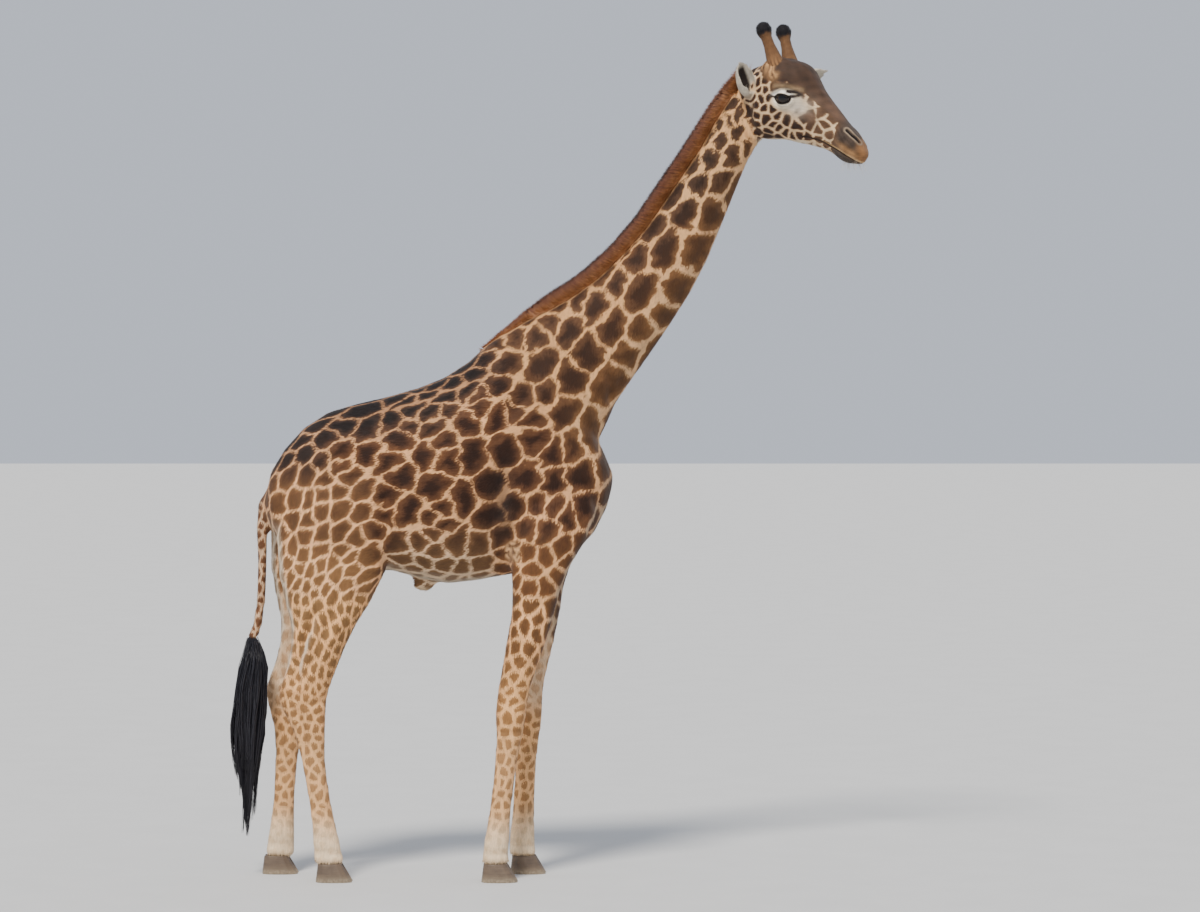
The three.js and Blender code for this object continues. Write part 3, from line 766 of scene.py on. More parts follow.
    def paint_haunch_and_belly(self, zone):
        x, z, n = self.x, self.z, self.normals
        croup = ramp(-x, 1.0, 1.2) * ramp(z, 1.95, 2.15)
        zone(croup, (198, 148, 104), (64, 45, 34), 0.0042, 0.8, 0.088, 1.5)
        haunch = ramp(-x, 0.80, 0.95) * ramp(-z, -2.12, -1.95)
        zone(haunch, (234, 180, 128), (122, 84, 52), 0.0048, 0.5, 0.080, 1.35)
        low_thigh = ramp(-x, 0.78, 0.9) * ramp(-z, -1.78, -1.55)
        zone(low_thigh, (240, 188, 136), (138, 98, 60), 0.0054, 0.25, 0.052, 1.5)
        belly = ramp(-n[:, 2], 0.35, 0.75) * (z > 1.3) * (1 - self.is_leg) * (x < 0.1) * (x > -0.9)
        low = ramp(-z, -1.86, -1.54) * (1 - self.is_leg) * ramp(-x, 0.22, 0.32) * ramp(x, -0.86, -0.70)
        belly = np.maximum(belly * ramp(-x, 0.20, 0.32), low)
        zone(belly, (226, 194, 156), (126, 92, 60), 0.0058, 0.3, 0.085, 1.2)
        under = ramp(-n[:, 2], 0.75, 0.95) * belly
        zone(under, (190, 172, 148), (150, 130, 108), 0.018, 0.0, 0.06)
        sheath = bump(np.hypot(x + 0.62, (z - 1.43) * 1.4), 0.06)
        sheath = sheath * ramp(-z, -1.475, -1.45) * (1 - self.is_leg)
        zone(sheath, (196, 170, 136), (190, 164, 130), 0.02, 0.0, 0.05)

    def paint_legs(self, zone):
        x, z, n = self.x, self.z, self.normals
        fore = self.is_leg * (x > -0.45)
        hind = self.is_leg * (x <= -0.45)
        forearm = ramp(-z, -1.84, -1.62) * ramp(x, -0.26, -0.22) * (1 - self.is_leg)
        zone(forearm, (226, 174, 122), (122, 80, 46), 0.0050, 0.4, 0.074, 1.15)
        zone(fore, (236, 180, 124), (118, 80, 46), 0.0070, 0.3, 0.064, 1.2)
        zone(fore * ramp(-z, -1.25, -0.95), (228, 174, 116), (150, 106, 62), 0.0085, 0.1, 0.058, 1.0)
        zone(hind, (240, 182, 122), (140, 102, 62), 0.0062, 0.15, 0.050, 1.35)
        zone(hind * ramp(-z, -1.15, -0.95), (226, 172, 116), (148, 106, 64), 0.0068, 0.1, 0.042, 1.1)
        shin = self.is_leg * ramp(-z, -0.85, -0.6)
        zone(shin, (224, 174, 120), (160, 118, 76), 0.0075, 0.0, 0.045, 1.1)
        foot = self.is_leg * ramp(-z, -0.38, -0.17)
        zone(foot, (228, 202, 166), (220, 192, 154), 0.012, 0.0, 0.045)
        inner = self.is_leg * ramp(-n[:, 1] * np.sign(self.y), 0.1, 0.6) * ramp(z, 0.75, 0.95)
        zone(inner, (216, 184, 148), (190, 152, 114), 0.011, 0.0, 0.06)
        behind = ramp(-n[:, 0], 0.55, 0.85) * ramp(z, 0.98, 1.1) * ramp(-z, -1.85, -1.7) * (x < -0.9)
        zone(behind, (218, 198, 172), (166, 138, 108), 0.010, 0.0, 0.05, 2.0)

    def paint_chest(self, zone):
        """The breast, painted shade in the hollow behind the elbow, and the whorl in it."""
        x, z, n = self.x, self.z, self.normals
        chest = ramp(n[:, 0], 0.55, 0.85) * ramp(-z, -2.1, -1.9) * (x > 0) * (z > 1.2)
        zone(chest, (190, 160, 128), (96, 66, 46), 0.010, 0.4, 0.10)
        # Painted shade: the hollow behind the elbow is darkened, ground and patches alike.
        elbow_hollow_shade = bump(np.hypot((x + 0.215) * 3.0, (z - 1.89) * 0.85), 0.15) * ramp(-n[:, 2], -0.3, 0.1)
        zone(elbow_hollow_shade, (84, 62, 47), (46, 34, 28), 0.0040, 0.9, 0.14)
        whorl = np.hypot((x + 0.172) * 1.35, z - 1.645)
        near = ramp(-whorl, -0.056, -0.048) * ramp(np.abs(n[:, 1]), 0.3, 0.7)
        zone(near, (214, 170, 122), (208, 164, 116), -0.02, 0.0, 0.05)
        rings = near * ramp(np.sin(whorl * 2 * np.pi / 0.028), 0.0, 0.4)
        zone(rings, (96, 64, 44), (92, 62, 42), -0.02, 0.0, 0.05)

    def paint_ears(self, zone):
        zone(self.is_ear, (200, 190, 172), (200, 190, 172), 0.05, 0.0, 0.05)
        for side in EARS:
            along, across, deep, opening = ear_coordinates(self.points, side)
            mine = self.is_ear * (self.left * side > 0)
            # Painted shade: the base of each ear is darker grey where it meets the head.
            zone(mine * ramp(-along, -0.045, -0.010), (158, 140, 118), (158, 140, 118), 0.05, 0.0, 0.05)
            size = np.interp(along, [0.0, 0.03, 0.10, 0.16, 0.20], [0.5, 0.8, 1.0, 0.7, 0.1])
            # Painted shade: the hollow of each ear's opening is painted near black.
            inside = mine * ramp(self.normals @ opening, 0.0, 0.4)
            inside = inside * (1 - ramp(np.abs(across) / size, 0.020, 0.036))
            inside = inside * (1 - ramp(deep / size, 0.014, 0.026)) * ramp(-along, -0.175, -0.15)
            zone(inside, (40, 31, 27), (38, 30, 26), 0.05, 0.0, 0.05)

    def paint_horn_feet(self, zone, head):
        uneven = wander(self.points, 0.05, np.random.default_rng(SEED + 3))[:, 0]
        for side in (-1, 1):
            up, forward, left, _ = horn_coordinates(self.points, side)
            foot = head * (1 - ramp(np.hypot(forward, left) - 0.008 * uneven, 0.052, 0.082))
            foot = foot * (np.abs(up) < 0.13)
            foot = foot * (1 - ramp(forward + 0.008 * uneven, 0.008, 0.034))
            foot = foot * ramp(side * left, -0.030, -0.005)
            zone(foot, (190, 146, 98), (186, 142, 94), -0.02, 0.0, 0.04)
            streaks = ramp(np.sin(np.arctan2(left, forward) * 15 + 1.3 * uneven), 0.0, 0.55)
            zone(foot * streaks, (88, 60, 42), (84, 57, 40), -0.02, 0.0, 0.04)

    def paint_muzzle(self, zone, head):
        ahead, z = self.ahead, self.z
        muzzle = head * ramp(ahead + 0.35 * (3.70 - z), 0.500, 0.555)
        zone(muzzle, (70, 56, 47), (66, 53, 44), -0.02, 0.0, 0.04)
        jaw_z = np.interp(ahead, [0.15, 0.33, 0.55], [3.705, 3.690, 3.605])
        pale_jaw = head * ramp(-(z - jaw_z), 0.0, 0.016)
        zone(pale_jaw, (206, 188, 160), (150, 126, 102), 0.010, 0.1, 0.04)
        lips = head * ramp(ahead, 0.50, 0.57) * bump(to_line(ahead, z, MOUTH) - 0.026, 0.020)
        zone(lips, (160, 118, 76), (154, 114, 74), -0.02, 0.0, 0.04)
        tip = head * ramp(ahead, 0.62, 0.655)
        zone(tip, (142, 100, 62), (134, 94, 58), -0.02, 0.0, 0.04)
        above = z - np.interp(ahead, *np.array(MOUTH).T)
        lip_line = head * ramp(ahead, 0.42, 0.50) * bump(to_line(ahead, z, MOUTH) - 0.0075, 0.0035)
        zone(lip_line * ramp(above, 0.0, 0.003), (206, 168, 116), (206, 168, 116), -0.02, 0.0, 0.04)
        chin = head * ramp(ahead, 0.475, 0.515) * ramp(-above, 0.002, 0.006)
        zone(chin, (74, 62, 52), (70, 59, 50), -0.02, 0.0, 0.04)

    def paint_cheek_and_eye(self, zone, head):
        ahead, z = self.ahead, self.z
        eye_far = np.hypot((ahead - 0.275) / 1.35, z - 3.878)
        pale = head * ramp(-eye_far, -0.066, -0.045)
        zone(pale, (208, 192, 166), (208, 192, 166), 0.03, 0.0, 0.05)
        shadow = head * bump(to_line(ahead, z, [(0.226, 3.948), (0.290, 3.944), (0.352, 3.922)]), 0.012)
        zone(shadow, (142, 118, 88), (130, 106, 78), -0.02, 0.0, 0.05)
        below = head * bump(np.hypot((ahead - 0.335) / 1.3, z - 3.835), 0.042)
        zone(below, (204, 190, 172), (196, 180, 160), 0.02, 0.0, 0.05)
        # Darker brown just under the cheek bone.
        below_cheek_dark = head * bump(np.hypot((ahead - 0.380) / 1.5, z - 3.792), 0.022)
        zone(below_cheek_dark, (128, 104, 84), (118, 92, 74), -0.02, 0.0, 0.05)
        # Painted shade: a dark line along the groove behind the jaw.
        zone(head * bump(to_line(ahead, z, JAW), 0.009), (88, 70, 56), (66, 50, 40), 0.003, 0.0, 0.04)
        lids = self.from_lids
        upper_lid = ramp(z - 3.887 + 0.12 * (ahead - 0.26), -0.004, 0.006)
        over_eye = head * bump(lids - 0.014, 0.009) * upper_lid
        zone(over_eye, (244, 238, 226), (244, 238, 226), 0.03, 0.0, 0.05)
        under_eye = head * bump(lids - 0.010, 0.0035) * (1 - upper_lid)
        zone(under_eye, (236, 226, 208), (236, 226, 208), 0.03, 0.0, 0.05)
        front_corner = [(0.288, 3.918), (0.326, 3.914), (0.348, 3.900), (0.320, 3.892), (0.302, 3.893)]
        near = head * np.minimum(1, 1.8 * bump(to_line(ahead, z, front_corner), 0.0078))
        zone(near, (44, 35, 31), (42, 33, 29), -0.02, 0.0, 0.05)
        back_corner = [(0.214, 3.893), (0.196, 3.899)]
        near = head * np.minimum(1, 1.6 * bump(to_line(ahead, z, back_corner), 0.0048))
        zone(near, (58, 46, 40), (54, 42, 36), -0.02, 0.0, 0.05)
        # Painted shade: near black where the lids fold in behind the eyeball.
        zone(head * ramp(-lids, -0.0072, -0.0040), (26, 21, 20), (24, 20, 19), -0.02, 0.0, 0.05)

    def paint_head(self, zone):
        ahead, z = self.ahead, self.z
        head = self.is_head * (1 - self.is_ear)
        zone(head, (216, 182, 140), (72, 48, 34), 0.0044, 0.7, 0.052, 1.1)
        cheek_front = head * ramp(ahead, 0.33, 0.42)
        zone(cheek_front, (214, 184, 144), (104, 76, 54), 0.0050, 0.3, 0.050)
        # Above this line from the brow to the nostril the head is plain brown.
        line_z = np.interp(
            ahead, [0.20, 0.277, 0.357, 0.449, 0.551, 0.62], [3.978, 3.975, 3.918, 3.838, 3.752, 3.70]
        )
        bare = head * ramp(z - line_z, -0.008, 0.016) * ramp(ahead, 0.185, 0.225)
        zone(bare, (80, 58, 44), (68, 49, 37), -0.03, 0.0, 0.05)
        zone(bare * ramp(ahead, 0.38, 0.50), (96, 72, 56), (90, 67, 52), -0.03, 0.0, 0.05)
        self.paint_horn_feet(zone, head)
        self.paint_muzzle(zone, head)
        self.paint_cheek_and_eye(zone, head)
        nostril = self.from_nostril
        zone(head * bump(nostril - 0.016, 0.0040), (150, 130, 108), (146, 126, 104), -0.02, 0.0, 0.05)
        # Painted shade: the nostril's slit is painted near black.
        slit = head * np.minimum(1, 1.7 * bump(nostril, 0.0078))
        zone(slit, (20, 16, 16), (17, 14, 14), -0.02, 0.0, 0.05)
        # Painted shade: a dark line in the crease where the lips meet.
        mouth = to_line(ahead, z, MOUTH)
        zone(head * bump(mouth, 0.0036), (42, 34, 30), (40, 32, 28), -0.02, 0.0, 0.05)


def way_through(across, down):
    """The way from the camera through a point of the frame."""
    x, z = (across - ZERO_AT[0]) * STEP, (ZERO_AT[1] - down) * STEP
    return (Vector((ZERO_X + x, MID_Y, z)) - Vector(CAMERA)).normalized()


def patch_middles(skin, comb, plan, stretch):
    """The middle of every patch: the large ones placed, the others thrown at random."""
    rng = np.random.default_rng(SEED)
    tree = tree_over(skin.mesh)
    middles = []
    for across, down in NECK_PATCHES + TRUNK_PATCHES:
        hit = tree.ray_cast(Vector(CAMERA), way_through(across, down))[0]
        if hit is None:
            continue
        middles.append(np.array(hit))
        other = np.array(hit) * np.array([1, -1, 1]) + np.array([0, 2 * MID_Y, 0])
        other += rng.normal(0, 0.022, 3)
        middles.append(np.array(tree.find_nearest(Vector(other))[0]))
    spots = list(MORE_HEAD_PATCHES)
    for across, down in HEAD_PATCHES:
        hit = tree.ray_cast(Vector(CAMERA), way_through(across, down))[0]
        if hit is not None:
            spots.append(((np.array(hit) - HEAD_PIVOT) @ HEAD_AHEAD, hit.z))
    for ahead, z in spots:
        for side in (-1, 1):
            start = Vector(on_head(ahead, side * 0.6, z))
            hit = tree.ray_cast(start, Vector(-side * HEAD_LEFT))[0]
            if hit is not None:
                middles.append(np.array(hit))
    corners = numbers(skin.mesh.loop_triangles, "vertices", 3, np.int32)
    a, b, c = (skin.points[corners[:, k]] for k in range(3))
    area = np.linalg.norm(np.cross(b - a, c - a), axis=1) / 2
    size = plan[:, 2][corners].mean(axis=1)
    chance = area / (size**2)
    count = int(chance.sum() * 7)
    picked = rng.choice(len(area), count, p=chance / chance.sum())
    r1, r2 = np.sqrt(rng.random((count, 1))), rng.random((count, 1))
    thrown = (1 - r1) * a[picked] + r1 * (1 - r2) * b[picked] + r1 * r2 * c[picked]
    at = corners[picked, 0]
    kept = np.zeros((len(middles) + count, 3))
    kept[: len(middles)] = middles
    total = len(middles)
    for place, vertex in zip(thrown, at):
        away = kept[:total] - place
        along = away @ comb[vertex]
        far = (away**2).sum(axis=1) - (1 - 1 / stretch[vertex] ** 2) * along**2
        if far.min() > (0.80 * plan[vertex, 2]) ** 2:
            kept[total] = place
            total += 1
    return kept[:total]


def patch_cells(skin, middles, comb, stretch, plan):
    """For every corner of every face, how much farther three patches are than the nearest one."""
    rng = np.random.default_rng(SEED + 1)
    mesh = skin.mesh
    tree = KDTree(len(middles))
    for k, middle in enumerate(middles):
        tree.insert(Vector(middle), k)
    tree.balance()
    lobes = wander(skin.points, 0.055, rng, 7) * 0.045 + wander(skin.points, 0.14, rng, 6) * 0.05
    bent = skin.points + lobes * np.minimum(plan[:, 2], 0.16)[:, None]
    vertex, start, sides = corners_of(mesh)
    centre = np.add.reduceat(bent[vertex], start, axis=0) / sides[:, None]
    grain = comb[vertex[start]]
    squeeze = 1 - 1 / stretch**2
    some = np.array([[found[1] for found in tree.find_n(Vector(p), 10)] for p in centre])
    away = middles[some] - centre[:, None]
    along = np.einsum("fkc,fc->fk", away, grain)
    far = (away**2).sum(axis=2) - squeeze[vertex[start]][:, None] * along**2
    order = np.argsort(far, axis=1)[:, :4]
    chosen = np.take_along_axis(some, order, axis=1)
    face_of = np.repeat(np.arange(len(start)), sides)
    four = middles[chosen[face_of]]
    away = four - bent[vertex][:, None]
    lie = comb[vertex]
    along = np.einsum("lkc,lc->lk", away, lie)
    pull = squeeze[vertex][:, None]
    far = (away**2).sum(axis=2) - pull * along**2
    apart = four[:, 1:] - four[:, :1]
    apart_along = np.einsum("lkc,lc->lk", apart, lie)
    slope = np.linalg.norm(apart - (pull * apart_along)[:, :, None] * lie[:, None], axis=2)
    return (far[:, 1:] - far[:, :1]) / np.maximum(2 * slope, 1e-4)


# A point on each leg's middle line, and the corner of the leg's strip on the flat map.
LEG_STRIPS = {
    "front_right": ((-0.2, -0.16, 0.8), (0.47, 0.37)),
    "front_left": ((-0.1, 0.16, 0.8), (0.61, 0.37)),
    "hind_right": ((-1.1, -0.18, 0.8), (0.47, 0.69)),
    "hind_left": ((-1.25, 0.18, 0.8), (0.61, 0.69)),
}


def unwrapped(skin):
    """A flat map of the skin's own shape: each limb opened like a tube and laid in its place."""
    tubes = [
        # parts, a point on the tube's middle line, its way, and its place on the map
        (["trunk"], (-0.5, 0, 1.95), (1, 0, 0), (0.01, 0.01, 0.44, 0.40)),
        (["neck_lower", "neck_upper"], (0.55, 0, 3.0), (0.5, 0, 0.86), (0.47, 0.01, 0.30, 0.33)),
        (["head"], (1.3, -0.2, 3.84), HEAD_AHEAD * 0.85 - UP * 0.5, (0.01, 0.43, 0.44, 0.26)),
        (["ear_right"], (1.0, -0.17, 3.98), (0.25, -0.45, 0.86), (0.01, 0.71, 0.10, 0.10)),
        (["ear_left"], (1.2, 0.04, 3.98), (0.61, 0.68, 0.39), (0.13, 0.71, 0.10, 0.10)),
        (["tail"], (-1.42, 0, 1.5), (0, 0, 1), (0.25, 0.71, 0.10, 0.26)),
    ]
    for foot, (middle, corner) in LEG_STRIPS.items():
        parts = [f"leg_{foot}_upper", f"leg_{foot}_lower"]
        tubes.append((parts, middle, (0, 0, 1), (*corner, 0.12, 0.30)))
    mesh = skin.mesh
    vertex, start, sides = corners_of(mesh)
    part = np.repeat(skin.part[vertex[start]], sides)
    first = np.repeat(start, sides)
    drawn = np.stack([skin.x, skin.y, skin.z], axis=1)[vertex]
    flat = np.zeros((len(vertex), 2))
    for names, middle, way, (left, low, wide, high) in tubes:
        mine = np.isin(part, [skin.names.index(name) for name in names])
        way = unit(np.asarray(way, dtype=float))
        across, third = crosswise(way)
        away = drawn - np.asarray(middle)
        along = away @ way
        angle = np.arctan2(away @ third, away @ across)
        angle = angle[first] + np.angle(np.exp(1j * (angle - angle[first])))
        turn = np.clip((angle + np.pi) / (2 * np.pi), -0.03, 1.03)
        span = along[mine]
        flat[mine, 0] = left + wide * (0.04 + 0.92 * turn[mine])
        flat[mine, 1] = low + high * (span - span.min()) / max(np.ptp(span), 1e-6)
    return flat


# ------------------------------------------------------------------ materials

class Nodes:
    """Short ways to write a material's nodes."""

    def __init__(self, name):
        self.material = bpy.data.materials.new(name)
        self.material.use_nodes = True
        self.tree = self.material.node_tree
        self.shader = self.tree.nodes["Principled BSDF"]
        self.place = self.add("ShaderNodeTexCoord", out="Object")

    def add(self, kind, inputs=(), out=0, **settings):
        node = self.tree.nodes.new(kind)
        for key, value in settings.items():
            setattr(node, key, value)
        for key, value in dict(inputs).items():
            self.put(node.inputs[key], value)
        return node.outputs[out]

    def put(self, socket, value):
        if isinstance(value, bpy.types.NodeSocket):
            self.tree.links.new(value, socket)
        elif socket.type == "RGBA":
            socket.default_value = (*value, 1.0)
        else:
            socket.default_value = value

    def set(self, **inputs):
        for key, value in inputs.items():
            self.put(self.shader.inputs[key.replace("_", " ")], value)

    def math(self, operation, a, b=None):
        inputs = {0: a} if b is None else {0: a, 1: b}
        return self.add("ShaderNodeMath", inputs, operation=operation)

    def times(self, a, b):
        return self.math("MULTIPLY", a, b)

    def plus(self, a, b):
        return self.math("ADD", a, b)

    def least(self, *values):
        low = values[0]
        for value in values[1:]:
            low = self.math("MINIMUM", low, value)
        return low

    def mix(self, share, a, b, blend="MIX"):
        node = self.tree.nodes.new("ShaderNodeMix")
        node.data_type = "RGBA"
        node.blend_type = blend
        self.put(node.inputs[0], share)
        self.put(node.inputs[6], a)
        self.put(node.inputs[7], b)
        return node.outputs[2]

    def step(self, value, start, end, low=0.0, high=1.0):
        inputs = {"Value": value, "From Min": start, "From Max": end, "To Min": low, "To Max": high}
        return self.add("ShaderNodeMapRange", inputs, interpolation_type="SMOOTHSTEP")

    def noise(self, scale, detail=2.0, place=None, rough=0.5):
        place = self.place if place is None else place
        inputs = {"Vector": place, "Scale": scale, "Detail": detail, "Roughness": rough}
        return self.add("ShaderNodeTexNoise", inputs)

    def attribute(self, name, out="Vector"):
        return self.add("ShaderNodeAttribute", out=out, attribute_name=name)

    def stretched(self, x, y, z):
        """The place on the object, stretched for a grain that runs one way."""
        return self.add("ShaderNodeMapping", {"Vector": self.place, "Scale": (x, y, z)})

    def grain(self, fine):
        """Streaks that follow the lie of the hair: along x, along z or between the two."""
        lie = self.add("ShaderNodeSeparateXYZ", {0: self.attribute("lie")})
        node = lie.node
        along_x = self.math("POWER", node.outputs[0], 2.0)
        along_z = self.math("POWER", node.outputs[2], 2.0)
        runs_x = self.noise(fine, 3.0, self.stretched(0.14, 1, 1))
        runs_z = self.noise(fine, 3.0, self.stretched(1, 1, 0.14))
        tilt = self.add(
            "ShaderNodeMapping",
            {"Vector": self.place, "Rotation": (0, math.radians(-58), 0), "Scale": (0.16, 1, 1)},
        )
        slanting = self.noise(fine, 3.0, tilt)
        mostly_z = self.step(along_z, 0.25, 0.9)
        mostly_x = self.step(along_x, 0.45, 0.9)
        value = self.add("ShaderNodeMix", {0: mostly_z, 2: slanting, 3: runs_z}, data_type="FLOAT")
        return self.add("ShaderNodeMix", {0: mostly_x, 2: value, 3: runs_x}, data_type="FLOAT")

    def bump(self, height, distance, strength=1.0):
        inputs = {"Height": height, "Distance": distance, "Strength": strength}
        self.set(Normal=self.add("ShaderNodeBump", inputs))


def coat_material():
    """Short hair with the markings: ragged patches in a net of pale lines."""
    made = Nodes("short_hair")
    cells = made.add("ShaderNodeSeparateXYZ", {0: made.attribute("cells")}).node
    plan = made.add("ShaderNodeSeparateXYZ", {0: made.attribute("plan")}).node
    line, core, size = plan.outputs[0], plan.outputs[1], plan.outputs[2]
    others = [cells.outputs[0], cells.outputs[1], cells.outputs[2]]
    low = made.least(0.0, *others)
    softness = made.times(size, 0.050)
    total = made.math("EXPONENT", made.math("DIVIDE", low, softness))
    for other in others:
        gap = made.math("SUBTRACT", low, other)
        total = made.plus(total, made.math("EXPONENT", made.math("DIVIDE", gap, softness)))
    total = made.math("MAXIMUM", made.math("SUBTRACT", total, 1.0), 1e-5)
    edge = made.times(made.times(made.math("LOGARITHM", total, math.e), softness), -1.0)
    coarse = made.math("SUBTRACT", made.noise(26.0, 3.0, rough=0.6), 0.5)
    fine = made.math("SUBTRACT", made.noise(95.0, 2.0), 0.5)
    streak = made.grain(130.0)
    frayed = made.plus(made.times(coarse, 0.20), made.times(fine, 0.06))
    frayed = made.plus(frayed, made.times(made.math("SUBTRACT", streak, 0.5), 0.05))
    edge = made.plus(
        edge, made.times(made.times(frayed, size), made.step(line, 0.003, 0.0075, 0.45, 1.0))
    )
    inner = made.math("SUBTRACT", edge, line)
    fill = made.step(inner, -0.0015, 0.0030)
    depth = made.math("DIVIDE", inner, size)
    uneven = made.plus(depth, made.times(made.math("SUBTRACT", streak, 0.5), 0.22))
    middle = made.times(made.step(uneven, 0.02, 0.26), core)
    ground = made.attribute("ground", "Color")
    patch = made.attribute("patch", "Color")
    dark = made.mix(1.0, patch, tuple(tint(112, 100, 104)), "MULTIPLY")
    brown = made.mix(middle, patch, dark)
    rim = made.times(made.step(inner, 0.010, 0.0), made.step(core, 0.1, 0.6, 0.0, 0.16))
    brown = made.mix(rim, brown, tuple(tint(160, 104, 60)))
    colour = made.mix(fill, ground, brown)
    shade = made.plus(made.attribute("shade", "Fac"), made.step(streak, 0.3, 0.7, -0.10, 0.10))
    broad = made.step(made.noise(5.0, 2.0), 0.3, 0.7, -0.06, 0.06)
    light = made.plus(made.plus(shade, broad), 1.0)
    bright = made.add("ShaderNodeCombineColor", {0: light, 1: light, 2: light})
    made.set(Base_Color=made.mix(1.0, colour, bright, "MULTIPLY"))
    made.set(Roughness=made.step(streak, 0.2, 0.8, 0.62, 0.80))
    made.set(Specular_IOR_Level=0.22, Sheen_Weight=0.10, Sheen_Roughness=0.5)
    made.bump(made.plus(streak, made.times(made.grain(420.0), 0.6)), 0.0009, 0.7)
    return made.material


# ------------------------------------------------------------------ floor, light and camera

def studio():
    """A pale floor and the open light of a high soft sun."""
    corners = [(-60, -60, 0), (60, -60, 0), (60, 60, 0), (-60, 60, 0)]
    floor = new_object("floor", mesh_from("floor", corners, [(0, 1, 2, 3)]))
    paint = Nodes("floor")
    paint.set(Base_Color=paint.mix(paint.noise(3.0, 4.0), (0.60, 0.60, 0.59), (0.66, 0.66, 0.65)))
    paint.set(Roughness=0.85)
    floor.data.materials.append(paint.material)
    world = bpy.data.worlds.new("studio")
    bpy.context.scene.world = world
    world.use_nodes = True
    world.node_tree.nodes["Background"].inputs["Color"].default_value = (0.82, 0.88, 1.0, 1)
    world.node_tree.nodes["Background"].inputs["Strength"].default_value = 0.75
    sun = bpy.data.lights.new("sun", "SUN")
    sun.energy = 4.1
    sun.angle = math.radians(14)
    sun.color = (1.0, 0.95, 0.88)
    lamp = bpy.data.objects.new("sun", sun)
    lamp.rotation_euler = (math.radians(38), math.radians(-14), 0)
    bpy.context.scene.collection.objects.link(lamp)


def camera():
    data = bpy.data.cameras.new("camera")
    data.lens = 120.0
    data.sensor_width = 36.0
    data.clip_end = 200
    made = bpy.data.objects.new("camera", data)
    bpy.context.scene.collection.objects.link(made)
    made.location = CAMERA
    down = math.atan(HORIZON_ABOVE * STEP / CAMERA_AWAY)
    made.rotation_euler = (math.radians(90) - down, 0, 0)
    bpy.context.scene.camera = made


# ------------------------------------------------------------------ tufts of hair

PATCH = 0.003  # how wide a tuft is on the flat map
REGIONS = {"head": 1, "neck": 2, "shoulder": 3, "flank": 4, "croup": 5, "forelegs": 6, "hind_legs": 7}


def tuft_object(name, finish, belly=0.42):
    """A closed blade one unit long along x, one wide along y and one high at its tip."""
    points = [(0, 0, -0.40), (belly, 0.5, 0.22), (belly, -0.5, 0.22), (1, 0, 1)]
    faces = [(0, 2, 3), (0, 3, 1), (0, 1, 2), (1, 3, 2)]
    mesh = mesh_from(name, points, faces)
    shape = bmesh.new()
    shape.from_mesh(mesh)
    bmesh.ops.recalc_face_normals(shape, faces=shape.faces)
    shape.to_mesh(mesh)
    shape.free()
    store(mesh, "along", [0, belly, belly, 1], "FLOAT")
    spots = [(0, 0.5, 0), (0.5, 1, 0), (0.5, 0, 0), (1, 0.5, 0)]
    store(mesh, "spot", (np.array(spots) - [0.5, 0.5, 0]) * PATCH)
    mesh.shade_flat()
    mesh.materials.append(finish)
    return new_object(name, mesh)


